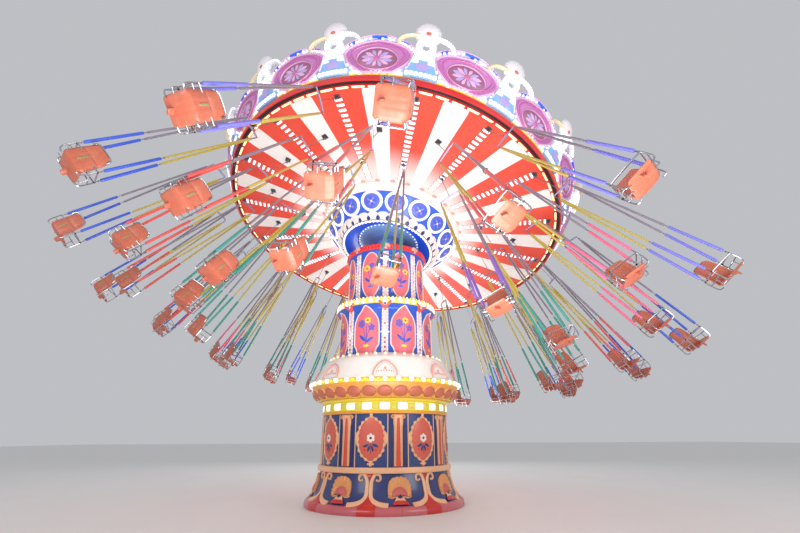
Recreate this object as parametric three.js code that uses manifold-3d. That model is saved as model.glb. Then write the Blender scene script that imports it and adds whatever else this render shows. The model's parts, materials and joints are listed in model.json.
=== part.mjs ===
// Chair swing ride: a decorated centre with a two-stage lifting tower, a leaning canopy
// that turns on its head, and forty-eight chairs on chains, flung out as in full flight.
// Millimetres, +Z up, tower axis on Z, ground at Z = 0; the front is towards -Y.
import * as THREE from "three";
import { mergeVertices } from "three/addons/utils/BufferGeometryUtils.js";
import Module from "manifold-3d";

const wasm = await Module();
wasm.setup();

const bays = 16;
const sides = 32; // facets of the fixed centre's round walls
const panels = 8;
const pivotHeight = 6612.5;
const leanAngle = 15.852; // of the canopy axis from upright, degrees
const leanHeading = 56.217; // the way the canopy leans, degrees from +X towards +Y
const firstLampLine = -104.5; // heading of one lamp line in the canopy's own plane, degrees
const firstStripe = -93.25;
const frontPilaster = -90 + 12.8; // heading of one drum pilaster

const base = {
  foot: 1911, waist: 1560, waistHeight: 800, band: 1633, bandTop: 872, drum: 1539, drumTop: 1970,
};
const tier = { ring: 1358, crown: 1133 };
const drum = { bore: 262, seat: 340.6, lip: 1365, top: 2100, topHeight: 840 };
const canopy = {
  inner: 2040, outer: 4790, underInner: 840.5, underOuter: 905, rim: 5005, deck: 1000,
};
const fascia = {
  foot: 4960, footHeight: 1000.5, lean: 0.5, spring: 1410, crown: 1945, thick: 45, rosette: 295,
};
const hook = { knob: 20, gap: 0.3, stub: 50 };
const swing = {
  rod: 24,
  barDrop: 800,
  barHalf: 265,
  chain: 30,
  seatDrop: 4350, // hook to the middle of the chair
  halfWidth: 215,
  railHalf: 285,
};

// Each ring of hooks: radius and height in the canopy's frame and heading of its first swing;
// for each swing the fling from the canopy's axis and the turn of its plane from the radius.
const rings = [
  {
    name: "outer", radius: 4620, height: 834, start: firstLampLine + 22.5,
    fling: [32.6, 37.5, 47.8, 45.3, 55, 58.5, 61, 60.5, 59.2, 54, 46, 45.5, 38.2, 36.7, 33.1, 31.7],
    turn: [-4, 12, 24, 16, 15, 12.4, 9, 5.5, 1.6, -3, -6.7, -10.5, -12.6, -14.6, -11.1, -6.4],
  },
  {
    name: "middle", radius: 3720, height: 800, start: firstStripe,
    fling: [26.8, 30.3, 37.4, 44.5, 48.6, 54.5, 56.5, 56.4, 55.4, 51.6, 46.7, 39.6, 38.5, 34.9, 29, 27.1],
    turn: [2.9, 15.5, 23.4, 22.7, 19.4, 17.4, 13.6, 8.2, 3.7, -1.5, -7.3, -13.1, -16.4, -18.1, -15.1, -8.1],
  },
  {
    name: "inner", radius: 2790, height: 766, start: firstLampLine + 22.5,
    fling: [17.6, 21.4, 28.4, 35.3, 41.7, 43.4, 46.4, 44.4, 42.4, 38.3, 33, 30.6, 26.7, 21.7, 19.8, 19.4],
    turn: [6.1, 24.2, 30.1, 28.7, 24.2, 19.5, 12, 7.4, 0.1, -8.2, -18.4, -26.6, -26.4, -14.6, -5.8, 0.7],
  },
];

const rad = THREE.MathUtils.degToRad;

function solidFrom(geometry) {
  const plain = new THREE.BufferGeometry();
  plain.setAttribute("position", geometry.getAttribute("position"));
  if (geometry.index) plain.setIndex(geometry.index);
  const merged = mergeVertices(plain, 1e-3);
  const solid = new wasm.Manifold(
    new wasm.Mesh({
      numProp: 3,
      vertProperties: merged.attributes.position.array,
      triVerts: new Uint32Array(merged.index.array),
    }),
  );
  return solid;
}

function geometryFrom(solid) {
  const mesh = solid.getMesh();
  const points = new Float32Array(mesh.numVert * 3);
  for (let i = 0; i < mesh.numVert; i++) {
    points.set(mesh.vertProperties.subarray(i * mesh.numProp, i * mesh.numProp + 3), i * 3);
  }
  const geometry = new THREE.BufferGeometry();
  geometry.setAttribute("position", new THREE.BufferAttribute(points, 3));
  geometry.setIndex(new THREE.BufferAttribute(new Uint32Array(mesh.triVerts), 1));
  const flat = geometry.toNonIndexed();
  flat.computeVertexNormals();
  return flat;
}

function joined(geometries) {
  let solid = solidFrom(geometries[0]);
  for (const geometry of geometries.slice(1)) {
    solid = solid.add(solidFrom(geometry));
  }
  return solid;
}

// A guide ring whose flats stand half a millimetre off the corners of the pilasters it holds;
// each pilaster faces a corner of the ring.
function guideRadius(face, halfWidth) {
  const half = Math.PI / sides;
  const corner = Math.hypot(face, halfWidth) + 0.5;
  return (corner * Math.cos(half - Math.atan2(halfWidth, face))) / Math.cos(half);
}

const lowerGuide = guideRadius(1262, 75);
const upperGuide = guideRadius(1080, 65);

// A ring turned about Z from a closed outline of [radius, height] pairs, in either order.
function turned(outline, segments) {
  const area = outline.reduce((sum, [r, z], i) => {
    const [r2, z2] = outline[(i + 1) % outline.length];
    return sum + r * z2 - r2 * z;
  }, 0);
  const ordered = area > 0 ? outline : [...outline].reverse();
  const points = [...ordered, ordered[0]].map(([r, z]) => new THREE.Vector2(r, z));
  const geometry = new THREE.LatheGeometry(points, segments);
  geometry.rotateX(Math.PI / 2);
  return geometry;
}

function box(x0, x1, y0, y1, z0, z1) {
  const geometry = new THREE.BoxGeometry(x1 - x0, y1 - y0, z1 - z0);
  geometry.translate((x0 + x1) / 2, (y0 + y1) / 2, (z0 + z1) / 2);
  return geometry;
}

// A straight bar between two points, with a section of few sides.
function bar(from, to, width, sides) {
  const a = new THREE.Vector3(...from);
  const b = new THREE.Vector3(...to);
  const geometry = new THREE.CylinderGeometry(width / 2, width / 2, a.distanceTo(b), sides);
  geometry.rotateX(Math.PI / 2);
  const turn = new THREE.Quaternion().setFromUnitVectors(
    new THREE.Vector3(0, 0, 1),
    b.clone().sub(a).normalize(),
  );
  geometry.applyQuaternion(turn);
  const middle = a.add(b).multiplyScalar(0.5);
  geometry.translate(middle.x, middle.y, middle.z);
  return geometry;
}

// A flat plate extruded inwards from an outline of [across, height] pairs and set on a round wall.
function wallPlate(outline, radius, depth, heading) {
  const shape = new THREE.Shape(outline.map(([x, z]) => new THREE.Vector2(x, z)));
  const geometry = new THREE.ExtrudeGeometry(shape, { depth, bevelEnabled: false, curveSegments: 4 });
  geometry.rotateX(Math.PI / 2);
  geometry.rotateZ(Math.PI / 2);
  geometry.translate(radius - depth, 0, 0);
  geometry.rotateZ(rad(heading));
  return geometry;
}

function oval(halfWidth, halfHeight, middle, steps) {
  return Array.from({ length: steps }, (_, i) => {
    const angle = (2 * Math.PI * i) / steps;
    return [halfWidth * Math.sin(angle), middle - halfHeight * Math.cos(angle)];
  });
}

function named(name, geometry, colour, roughness, metalness = 0) {
  const material = new THREE.MeshStandardMaterial({ color: colour, roughness, metalness });
  const mesh = new THREE.Mesh(geometry, material);
  mesh.name = name;
  return mesh;
}

function basePlinth() {
  const ring = turned(
    [
      [0, 0], [base.foot - 15, 0], [base.foot, 90], [base.foot - 60, 170],
      [base.foot - 130, 170], [base.foot - 130, 60], [0, 60],
    ],
    sides,
  );
  return named("base_plinth", ring, 0xc05a5f, 0.5);
}

function baseSkirt() {
  const shell = turned(
    [
      [1780, 60.5], [1780, 190], [1680, 340], [1605, 560], [base.waist, base.waistHeight],
      [base.band, base.waistHeight], [base.band, base.bandTop], [1440, base.bandTop], [1440, 700],
      [1540, 500], [1700, 60.5],
    ],
    sides,
  );
  const pieces = [shell];
  for (let i = 0; i < panels; i++) {
    const volute = [[-70, 250], [70, 250], [70, 780], [-70, 780]];
    pieces.push(wallPlate(volute, 1640, 90, frontPilaster + (360 / panels) * (i + 0.5)));
  }
  return named("base_skirt", geometryFrom(joined(pieces)), 0x2f3f7f, 0.45);
}

function baseDrum() {
  const wall = turned(
    [
      [1440, base.bandTop + 0.5], [base.drum, base.bandTop + 0.5], [base.drum, base.drumTop],
      [1440, base.drumTop],
    ],
    sides,
  );
  const pieces = [wall];
  for (let i = 0; i < panels; i++) {
    const heading = frontPilaster + (360 / panels) * i;
    const pilaster = [[-75, 880], [75, 880], [75, 1950], [-75, 1950]];
    pieces.push(wallPlate(pilaster, 1562, 80, heading));
    pieces.push(wallPlate(oval(255, 500, 1420, 8), 1554, 90, heading + 180 / panels));
  }
  return named("base_drum", geometryFrom(joined(pieces)), 0x2c3f6e, 0.5);
}

function lightCornice() {
  const ring = turned(
    [
      [1440, 1970.5], [1580, 1970.5], [1580, 2240], [1650, 2270], [1790, 2400], [1893, 2600],
      [1906, 2690], [1850, 2740], [1790, 2740], [1790, 2640], [1440, 2240],
    ],
    sides,
  );
  return named("light_cornice", ring, 0xe8c34a, 0.5);
}

function corniceDome() {
  const shell = turned(
    [
      [1795, 2740.5], [1845, 2740.5], [1640, 3215], [1590, 3270], [lowerGuide, 3400],
      [lowerGuide, 3340],
      [1540, 3190],
    ],
    sides,
  );
  const pieces = [shell];
  for (let i = 0; i < panels; i++) {
    const outline = [[-270, 0], [270, 0], [250, 110], [150, 270], [0, 350], [-150, 270], [-250, 110]];
    const gable = wallPlate(outline, 0, 60, 0);
    gable.rotateY(rad(-21));
    gable.translate(1848, 0, 2785);
    gable.rotateZ(rad(frontPilaster - 11 + (360 / panels) * i));
    pieces.push(gable);
  }
  return named("cornice_dome", geometryFrom(joined(pieces)), 0xf2ede6, 0.5);
}

function tierPilasters(radius, from, to, halfWidth, depth) {
  const pieces = [];
  for (let i = 0; i < panels; i++) {
    const outline = [[-halfWidth, from], [halfWidth, from], [halfWidth, to], [-halfWidth, to]];
    pieces.push(wallPlate(outline, radius, depth, -90 + (360 / panels) * i));
  }
  return pieces;
}

function lowerTier() {
  const shell = turned(
    [
      [1120, 2960], [1238, 2960], [1238, 4520], [tier.ring, 4630], [tier.ring, 4760], [1240, 4790],
      [upperGuide, 4790], [upperGuide, 4760], [1120, 4700],
    ],
    sides,
  );
  const pieces = [shell, ...tierPilasters(1262, 3000, 4600, 75, 90)];
  return named("lower_tier", geometryFrom(joined(pieces)), 0x2f56b8, 0.5);
}

const tiltAxis = new THREE.Vector3(-Math.sin(rad(leanHeading)), Math.cos(rad(leanHeading)), 0);

function pin(radius, from, to, sides) {
  const geometry = new THREE.CylinderGeometry(radius, radius, to - from, sides);
  geometry.rotateZ(-Math.PI / 2);
  geometry.translate((from + to) / 2, 0, 0);
  return geometry;
}

function upperTier() {
  const shell = turned(
    [
      [960, 4500], [1050, 4500], [1050, 6210], [tier.crown, 6235], [tier.crown, 6390], [1100, 6390],
      [1085, 6260], [300, 6260], [300, 6180], [960, 6180],
    ],
    sides,
  );
  const pieces = [shell, ...tierPilasters(1080, 4520, 6240, 65, 70)];
  for (let i = 0; i < panels; i++) {
    const finial = new THREE.OctahedronGeometry(60);
    finial.scale(0.95, 2.2, 1.8);
    finial.translate(tier.crown - 25, 0, 6330);
    finial.rotateZ(rad(-90 + (360 / panels) * i));
    pieces.push(finial);
  }
  let solid = joined(pieces);
  for (const side of [-1, 1]) {
    const cheek = box(side * 400 - 40, side * 400 + 40, -150, 150, 6200, pivotHeight + 95);
    cheek.rotateZ(rad(leanHeading + 90));
    const hole = pin(60.9, -500, 500, 24);
    hole.translate(0, 0, pivotHeight);
    hole.rotateZ(rad(leanHeading + 90));
    solid = solid.add(solidFrom(cheek)).subtract(solidFrom(hole));
  }
  return named("upper_tier", geometryFrom(solid), 0x2f56b8, 0.5);
}

function tiltHead() {
  const hub = turned(
    [
      [120, -150], [330, -150], [330, 290], [520, 300], [520, 340], [256, 340], [256, 620], [120, 620],
    ],
    24,
  );
  const trunnions = pin(60, -436, 436, 24);
  trunnions.rotateZ(tiltHeadingInPlane);
  return named("tilt_head", geometryFrom(joined([hub, trunnions])), 0x8d9095, 0.4, 0.9);
}

function centreDrum() {
  const shell = turned(
    [
      [drum.bore, drum.seat], [900, drum.seat], [1130, 300], [1245, 210], [1290, 75], [drum.lip, 78],
      [1545, 250], [drum.top, 795], [drum.top, drum.topHeight], [2040, drum.topHeight], [1500, 400],
      [drum.bore, 400],
    ],
    sides,
  );
  return named("centre_drum", shell, 0x2a59c8, 0.5);
}

function ceilingHeight(radius) {
  const share = (radius - canopy.inner) / (canopy.outer - canopy.inner);
  return canopy.underInner + share * (canopy.underOuter - canopy.underInner);
}

function canopyCeiling() {
  const deck = turned(
    [
      [canopy.inner, canopy.underInner], [canopy.outer, canopy.underOuter], [4790, 885], [4985, 892],
      [canopy.rim, canopy.deck], [4700, canopy.deck], [canopy.inner, 890],
    ],
    48,
  );
  const pieces = [deck];
  for (const ring of rings) {
    for (let i = 0; i < bays; i++) {
      const half = hook.stub / 2;
      const foot = ring.height + hook.knob + hook.gap;
      const stub = box(-half, half, -half, half, foot, ceilingHeight(ring.radius) + 20);
      stub.rotateZ(rad(ring.turn[i]));
      stub.translate(ring.radius, 0, 0);
      stub.rotateZ(rad(ring.start + (360 / bays) * i));
      pieces.push(stub);
    }
  }
  return named("canopy_ceiling", geometryFrom(joined(pieces)), 0xe4573d, 0.5);
}

// One closed wall that leans outwards, its top edge rising in an arch over each bay.
function archWall() {
  const columns = 4;
  const count = bays * columns;
  const points = [];
  const faces = [];
  for (let i = 0; i < count; i++) {
    const share = ((i % columns) + 0) / columns;
    const heading = rad(firstLampLine + (360 / bays) * (i / columns));
    const top = fascia.spring + (fascia.crown - fascia.spring) * Math.sqrt(Math.sin(Math.PI * share));
    const foot = fascia.footHeight;
    const rows = [
      [fascia.foot, foot], [fascia.foot + fascia.lean * (top - foot), top],
      [fascia.foot + fascia.lean * (top - foot) - fascia.thick, top], [fascia.foot - fascia.thick, foot],
    ];
    for (const [r, z] of rows) {
      points.push(r * Math.cos(heading), r * Math.sin(heading), z);
    }
    for (let k = 0; k < 4; k++) {
      const a = i * 4 + k;
      const b = i * 4 + ((k + 1) % 4);
      const c = ((i + 1) % count) * 4 + k;
      const d = ((i + 1) % count) * 4 + ((k + 1) % 4);
      faces.push(a, c, b, b, c, d);
    }
  }
  const geometry = new THREE.BufferGeometry();
  geometry.setAttribute("position", new THREE.BufferAttribute(new Float32Array(points), 3));
  geometry.setIndex(faces);
  return geometry;
}

function canopyFascia() {
  const pieces = [archWall()];
  for (let i = 0; i < bays; i++) {
    const heading = firstLampLine + (360 / bays) * i;
    const plate = new THREE.Shape(
      [[-200, 0], [200, 0], [230, 820], [120, 985], [-120, 985], [-230, 820]]
        .map(([x, z]) => new THREE.Vector2(x, z)),
    );
    const bracket = new THREE.ExtrudeGeometry(plate, { depth: 70, bevelEnabled: false });
    bracket.rotateX(Math.PI / 2);
    bracket.rotateZ(Math.PI / 2);
    bracket.rotateY(Math.atan(fascia.lean));
    bracket.translate(fascia.foot - 20, 0, fascia.footHeight + 40);
    bracket.rotateZ(rad(heading));
    const rosette = new THREE.SphereGeometry(fascia.rosette, 8, 4);
    rosette.rotateX(Math.PI / 2);
    rosette.scale(0.36, 1, 1);
    rosette.rotateY(Math.atan(fascia.lean));
    rosette.translate(fascia.foot + 530, 0, fascia.footHeight + 1045);
    rosette.rotateZ(rad(heading));
    pieces.push(bracket, rosette);
  }
  return named("canopy_fascia", geometryFrom(joined(pieces)), 0xc070b8, 0.5);
}

function canopyRoof() {
  const shell = turned(
    [
      [4700, 1000.5], [4890, 1000.5], [4890, 1040], [900, 1700], [60, 2070], [60, 2010],
      [860, 1640],
    ],
    sides,
  );
  return named("canopy_roof", shell, 0xb9b9c4, 0.6);
}

// One swing, hanging from its hook along -Z; the knob's corner points up at this fling.
function swingGeometry(fling) {
  const arm = -(swing.seatDrop - 20);
  const side = swing.railHalf;
  const half = swing.halfWidth;
  const backrest = new THREE.Shape(
    [[-half, -265], [half, -265], [half, 40], [half - 35, 300], [35 - half, 300], [-half, 40]]
      .map(([x, z]) => new THREE.Vector2(x, z)),
  );
  const back = new THREE.ExtrudeGeometry(backrest, { depth: 44, bevelEnabled: false });
  back.rotateX(Math.PI / 2);
  back.translate(0, 196, -swing.seatDrop);
  const pan = box(-half, half, -235, 190, -swing.seatDrop - 265, -swing.seatDrop - 225);
  const knob = new THREE.CylinderGeometry(hook.knob, hook.knob, 40, 8);
  knob.rotateY(rad(fling));
  const pieces = [
    knob,
    box(-swing.rod / 2, swing.rod / 2, -swing.rod / 2, swing.rod / 2, -swing.barDrop, -10),
    box(-swing.barHalf - 15, swing.barHalf + 15, -20, 20, -swing.barDrop - 18, -swing.barDrop + 18),
    back,
    pan,
  ];
  for (const hand of [-1, 1]) {
    const x = hand * swing.barHalf;
    const at = hand * side;
    pieces.push(bar([x, 5, -swing.barDrop], [at, 150, arm], swing.chain, 3));
    pieces.push(bar([x, -5, -swing.barDrop], [at, -190, arm], swing.chain, 3));
    pieces.push(box(at - 22, at + 17, -215, 190, arm - 17, arm + 17));
  }
  pieces.push(box(-side, side, -212, -186, arm - 13, arm + 13));
  pieces.push(box(-side, side, 160, 186, arm - 13, arm + 13));
  return geometryFrom(joined(pieces));
}

function hangSwings(parent) {
  for (const ring of rings) {
    for (let i = 0; i < bays; i++) {
      const heading = ring.start + (360 / bays) * i;
      const place = new THREE.Group();
      const at = rad(heading);
      place.position.set(ring.radius * Math.cos(at), ring.radius * Math.sin(at), ring.height);
      place.rotation.z = rad(heading + ring.turn[i]);
      const number = String(i + 1).padStart(2, "0");
      const geometry = swingGeometry(ring.fling[i]);
      const mesh = named("swing_" + ring.name + "_" + number, geometry, 0xd9785f, 0.45);
      mesh.rotation.y = -rad(ring.fling[i]);
      place.add(mesh);
      parent.add(place);
    }
  }
}

const upright = new THREE.Vector3(0, 0, 1);
const lean = new THREE.Quaternion().setFromAxisAngle(tiltAxis, rad(leanAngle));
const normal = upright.clone().applyQuaternion(lean);
const planeX = new THREE.Vector3(1, 0, 0).addScaledVector(normal, -normal.x).normalize();
const planeY = normal.clone().cross(planeX);
// The tilt axis lies in the canopy's plane; this is its heading there.
const tiltHeadingInPlane = Math.atan2(tiltAxis.dot(planeY), tiltAxis.dot(planeX));

const ride = new THREE.Group();
ride.add(basePlinth(), baseSkirt(), baseDrum(), lightCornice(), corniceDome());
ride.add(lowerTier(), upperTier());

const carousel = new THREE.Group();
const frame = new THREE.Matrix4().makeBasis(planeX, planeY, normal);
frame.setPosition(0, 0, pivotHeight);
carousel.applyMatrix4(frame);
carousel.add(tiltHead(), centreDrum(), canopyCeiling(), canopyFascia(), canopyRoof());
hangSwings(carousel);
ride.add(carousel);

export default ride;
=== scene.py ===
import json
import math

import bmesh
import bpy
from mathutils import Matrix, Vector


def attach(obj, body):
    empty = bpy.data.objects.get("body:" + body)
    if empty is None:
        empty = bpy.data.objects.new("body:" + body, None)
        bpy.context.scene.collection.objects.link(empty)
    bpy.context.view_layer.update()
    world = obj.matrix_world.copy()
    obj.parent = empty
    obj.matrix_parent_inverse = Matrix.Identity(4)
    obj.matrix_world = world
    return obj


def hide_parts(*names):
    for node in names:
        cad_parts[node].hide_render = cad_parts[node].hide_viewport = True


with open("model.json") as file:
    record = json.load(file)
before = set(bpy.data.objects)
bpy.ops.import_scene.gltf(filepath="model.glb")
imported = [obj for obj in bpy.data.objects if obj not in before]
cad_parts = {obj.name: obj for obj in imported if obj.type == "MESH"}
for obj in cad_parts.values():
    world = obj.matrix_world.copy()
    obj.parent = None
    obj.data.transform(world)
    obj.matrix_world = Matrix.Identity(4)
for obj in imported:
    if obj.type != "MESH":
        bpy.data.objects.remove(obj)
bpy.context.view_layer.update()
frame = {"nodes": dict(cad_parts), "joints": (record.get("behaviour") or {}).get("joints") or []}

joints = {joint["name"]: joint for joint in frame["joints"]}
print("frame loaded")

# camera: at eye height, a little right of straight ahead, looking up at the canopy
camera = {"place": (0.404, -11.5, 1.464), "up": 22.24, "roll": -0.27, "lens": 18.84}
eye = bpy.data.objects.new("camera", bpy.data.cameras.new("camera"))
bpy.context.scene.collection.objects.link(eye)
eye.data.sensor_width = 36
eye.data.lens = camera["lens"]
eye.data.clip_end = 400
eye.matrix_world = (
    Matrix.Translation(camera["place"])
    @ Matrix.Rotation(math.radians(90 + camera["up"]), 4, "X")
    @ Matrix.Rotation(math.radians(camera["roll"]), 4, "Z")
)
bpy.context.scene.camera = eye
bpy.context.scene.view_settings.view_transform = "Standard"

# the canopy's own frame: its axis is the spin joint's, and X is the in-plane direction nearest world X
spin = joints["canopy_spin"]
canopyUp = Vector(spin["axis"]).normalized()
canopyX = (Vector((1, 0, 0)) - canopyUp * canopyUp.x).normalized()
canopyY = canopyUp.cross(canopyX)
canopyFrame = Matrix.Translation(spin["pos_m"]) @ Matrix((canopyX, canopyY, canopyUp)).transposed().to_4x4()
bays = 16
lampLine = -104.5  # heading of one lamp line in the canopy's frame


# shapes are gathered as points and faces, then made into pieces
def newShape():
    return {"points": [], "faces": [], "finish": []}


def addGrid(shape, rows, finish, closeAcross=False, closeAlong=False, caps=False):
    start = len(shape["points"])
    across = len(rows[0])
    for row in rows:
        shape["points"] += [tuple(point) for point in row]
    for i in range(len(rows) if closeAlong else len(rows) - 1):
        near, far = start + i * across, start + ((i + 1) % len(rows)) * across
        for k in range(across if closeAcross else across - 1):
            nextK = (k + 1) % across
            shape["faces"].append((near + k, near + nextK, far + nextK, far + k))
            shape["finish"].append(finish)
    if caps:
        for row in (0, len(rows) - 1):
            shape["faces"].append(tuple(start + row * across + k for k in range(across)))
            shape["finish"].append(finish)


def addShape(target, source, place):
    start = len(target["points"])
    target["points"] += [tuple(place(Vector(point))) for point in source["points"]]
    target["faces"] += [tuple(i + start for i in face) for face in source["faces"]]
    target["finish"] += source["finish"]


def addLathe(shape, outline, finish, steps=128, heading=0, sweep=360, caps=False):
    full = sweep >= 360
    rows = []
    for i in range(steps if full else steps + 1):
        angle = math.radians(heading + sweep * i / steps)
        rows.append([(r * math.cos(angle), r * math.sin(angle), z) for r, z in outline])
    addGrid(shape, rows, finish, closeAcross=caps, closeAlong=full, caps=caps and not full)


def addTube(shape, path, radius, sides, finish, closed=False, flat=1.0):
    points = [Vector(point) for point in path]
    turns = [2 * math.pi * k / sides for k in range(sides)]
    count = len(points)
    rows = []
    side = None
    for i, point in enumerate(points):
        before = points[i - 1] if closed or i else point
        after = points[(i + 1) % count] if closed or i < count - 1 else point
        along = (after - before).normalized()
        if side is None:
            side = along.orthogonal().normalized()
        side = (side - along * side.dot(along)).normalized()
        other = along.cross(side)
        size = radius[i] if isinstance(radius, list) else radius
        rows.append([point + side * size * math.cos(turn) + other * size * flat * math.sin(turn) for turn in turns])
    addGrid(shape, rows, finish, closeAcross=True, closeAlong=closed, caps=not closed)


def addBlock(shape, low, high, finish, chamfer=0.0):
    x0, y0, z0 = low
    x1, y1, z1 = high
    c = chamfer
    ring = [
        (x0 + c, y0), (x1 - c, y0), (x1, y0 + c), (x1, y1 - c), (x1 - c, y1), (x0 + c, y1), (x0, y1 - c),
        (x0, y0 + c),
    ]
    if not c:
        ring = [(x0, y0), (x1, y0), (x1, y1), (x0, y1)]
    middle = Vector(((x0 + x1) / 2, (y0 + y1) / 2))
    inner = [tuple(middle + (Vector(p) - middle) * 0.9) for p in ring] if c else ring
    rows = [[(x, y, z0) for x, y in ring], [(x, y, z1 - c) for x, y in ring]]
    if c:
        rows.append([(x, y, z1) for x, y in inner])
    addGrid(shape, rows, finish, closeAcross=True, caps=True)


def ovalPath(centre, across, up, steps):
    turns = [2 * math.pi * k / steps for k in range(steps)]
    return [(centre[0] + across * math.cos(t), centre[1] + up * math.sin(t)) for t in turns]


def addRings(shape, centre, rings, sides, finish):
    # closed oval rings, each with its reach across, its reach up and its height
    rows = [[(x, y, height) for x, y in ovalPath(centre, across, up, sides)] for across, up, height in rings]
    addGrid(shape, rows, finish, closeAcross=True, caps=True)


def addBall(shape, centre, radius, finish, sides, rings, squash=1.0):
    made = []
    for i in range(rings + 1):
        tilt = math.pi * i / rings
        size = radius * max(math.sin(tilt), 0.01)
        made.append((size, size, centre[2] + radius * squash * math.cos(tilt)))
    addRings(shape, centre, made, sides, finish)


def addBulb(shape, centre, radius, finish):
    # a round lamp or bead, with only the part that stands out of its wall
    tilts = (0.25, 0.9, 1.6)
    made = [(radius * math.sin(t), radius * math.sin(t), centre[2] + radius * math.cos(t)) for t in tilts]
    addRings(shape, centre, made, 8, finish)


def addBulbs(shape, points, out, radius, finish):
    for x, y in points:
        addBulb(shape, (x, y, out), radius, finish)


def smoothPath(points, steps, closed=False):
    # a curve through the points, so that a few measured ones give a flowing line
    count = len(points)
    made = []
    for i in range(count if closed else count - 1):
        p = [points[(i + k) % count] if closed else points[min(max(i + k, 0), count - 1)] for k in (-1, 0, 1, 2)]
        for step in range(steps):
            t = step / steps
            made.append(tuple(
                0.5 * (2 * b + (c - a) * t + (2 * a - 5 * b + 4 * c - d) * t * t + (3 * b - a - 3 * c + d) * t ** 3)
                for a, b, c, d in zip(*p)
            ))
    return made if closed else made + [tuple(points[-1])]


def addPillow(shape, low, high, height, finish, lift=0.0, steps=6):
    # a cushion-shaped lens or boss on a rectangle
    rows = []
    for i in range(steps + 1):
        v = math.sin(math.pi * (i / steps - 0.5))
        row = []
        for k in range(steps + 1):
            u = math.sin(math.pi * (k / steps - 0.5))
            rise = height * (max(1 - u ** 4, 0) * max(1 - v ** 4, 0)) ** 0.4
            pull = 1 - 0.06 * (u * v) ** 2
            row.append((
                (low[0] + high[0]) / 2 + (high[0] - low[0]) / 2 * u * pull,
                (low[1] + high[1]) / 2 + (high[1] - low[1]) / 2 * v * pull, lift + rise,
            ))
        rows.append(row)
    addGrid(shape, rows, finish)


def addBoss(shape, centre, across, up, height, finish, lift, sides):
    # a domed oval disc
    dome = ((1.0, -0.2), (0.98, 0.35), (0.85, 0.7), (0.6, 0.9), (0.3, 0.98), (0.02, 1.0))
    made = [(across * share, up * share, lift + height * rise) for share, rise in dome]
    addRings(shape, centre, made, sides, finish)


# ornaments are drawn flat, across and up in metres with the third number out of the wall
def addRibbon(shape, path, width, height, finish, closed=False, lift=0.0):
    section = [(-1, -0.6), (-0.86, 0.55), (0, 1), (0.86, 0.55), (1, -0.6)]
    count = len(path)
    rows = []
    for i, point in enumerate(path):
        before = path[i - 1] if closed or i else point
        after = path[(i + 1) % count] if closed or i < count - 1 else point
        along = Vector((after[0] - before[0], after[1] - before[1]))
        along = along.normalized() if along.length > 1e-9 else Vector((1, 0))
        half = (width[i] if isinstance(width, list) else width) / 2
        rows.append([
            (point[0] - along.y * half * s, point[1] + along.x * half * s, lift + height * c) for s, c in section
        ])
    addGrid(shape, rows, finish, closeAlong=closed, caps=not closed)


def addPanel(shape, rows, finish, lift, crown, columns):
    # a skin between left and right edges; crown is how far its middle stands up
    rowsMade = []
    for i, (up, left, right) in enumerate(rows):
        bulge = math.sin(math.pi * i / (len(rows) - 1)) ** 0.5 if crown and 0 < i < len(rows) - 1 else 0
        rowsMade.append([
            (
                left + (right - left) * k / columns, up,
                lift + crown * bulge * math.sin(math.pi * k / columns) ** 0.5 if 0 < k < columns else lift,
            )
            for k in range(columns + 1)
        ])
    addGrid(shape, rowsMade, finish)


def panelRows(half):
    return [(up, -across, across) for across, up in half]


def mirrored(half):
    # a closed outline from its right-hand half, given from the top down
    return list(half) + [(-x, y) for x, y in reversed(half) if x > 1e-4]


def wallFrom(profile):
    # a round wall of [radius, height] points: gives radius and height at a distance up it and out of it
    points = [Vector(point) for point in profile]
    lengths = [0.0]
    for a, b in zip(points, points[1:]):
        lengths.append(lengths[-1] + (b - a).length)
    outs = [Vector(((b - a).y, -(b - a).x)).normalized() for a, b in zip(points, points[1:])]
    corners = [outs[0]] + [(a + b).normalized() for a, b in zip(outs, outs[1:])] + [outs[-1]]

    def at(up, out):
        i = 0
        while i < len(outs) - 1 and up > lengths[i + 1]:
            i += 1
        share = (up - lengths[i]) / (lengths[i + 1] - lengths[i])
        point = points[i].lerp(points[i + 1], share)
        lean = corners[i].lerp(corners[i + 1], min(max(share, 0), 1)).normalized()
        return point.x + lean.x * out, point.y + lean.y * out

    return at


# a seat gives, for a heading, the place of each drawn point; on a wall x runs round it at the reference radius
def onWall(wall, reference):
    def place(heading, point):
        radius, height = wall(point.y, point.z)
        angle = math.radians(heading) + point.x / reference
        return radius * math.cos(angle), radius * math.sin(angle), height

    return lambda heading: lambda point: place(heading, point)


def onFacet(foot, lean):
    # a flat plate that leans back from its foot
    back, rise = math.sin(math.radians(lean)), math.cos(math.radians(lean))

    def place(heading, point):
        c, s = math.cos(math.radians(heading)), math.sin(math.radians(heading))
        out = foot[0] - back * point.y + rise * point.z
        return out * c - point.x * s, out * s + point.x * c, foot[1] + rise * point.y + back * point.z

    return lambda heading: lambda point: place(heading, point)


def onDeck(height):
    # drawn across and out along a radius, with the third number below the deck
    def place(heading, p):
        c, s = math.cos(math.radians(heading)), math.sin(math.radians(heading))
        return p.y * c - p.x * s, p.y * s + p.x * c, height(p.y) - p.z

    return lambda heading: lambda point: place(heading, point)


def addAround(target, source, seat, count, first):
    # copies at even steps round the axis
    for k in range(count):
        addShape(target, source, seat(first + 360 / count * k))


def finishMesh(mesh, sharp):
    made = bmesh.new()
    made.from_mesh(mesh)
    bmesh.ops.remove_doubles(made, verts=made.verts, dist=0.0001)
    bmesh.ops.recalc_face_normals(made, faces=made.faces)
    made.to_mesh(mesh)
    made.free()
    mesh.shade_smooth()
    mesh.set_sharp_from_angle(angle=math.radians(sharp))


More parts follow.
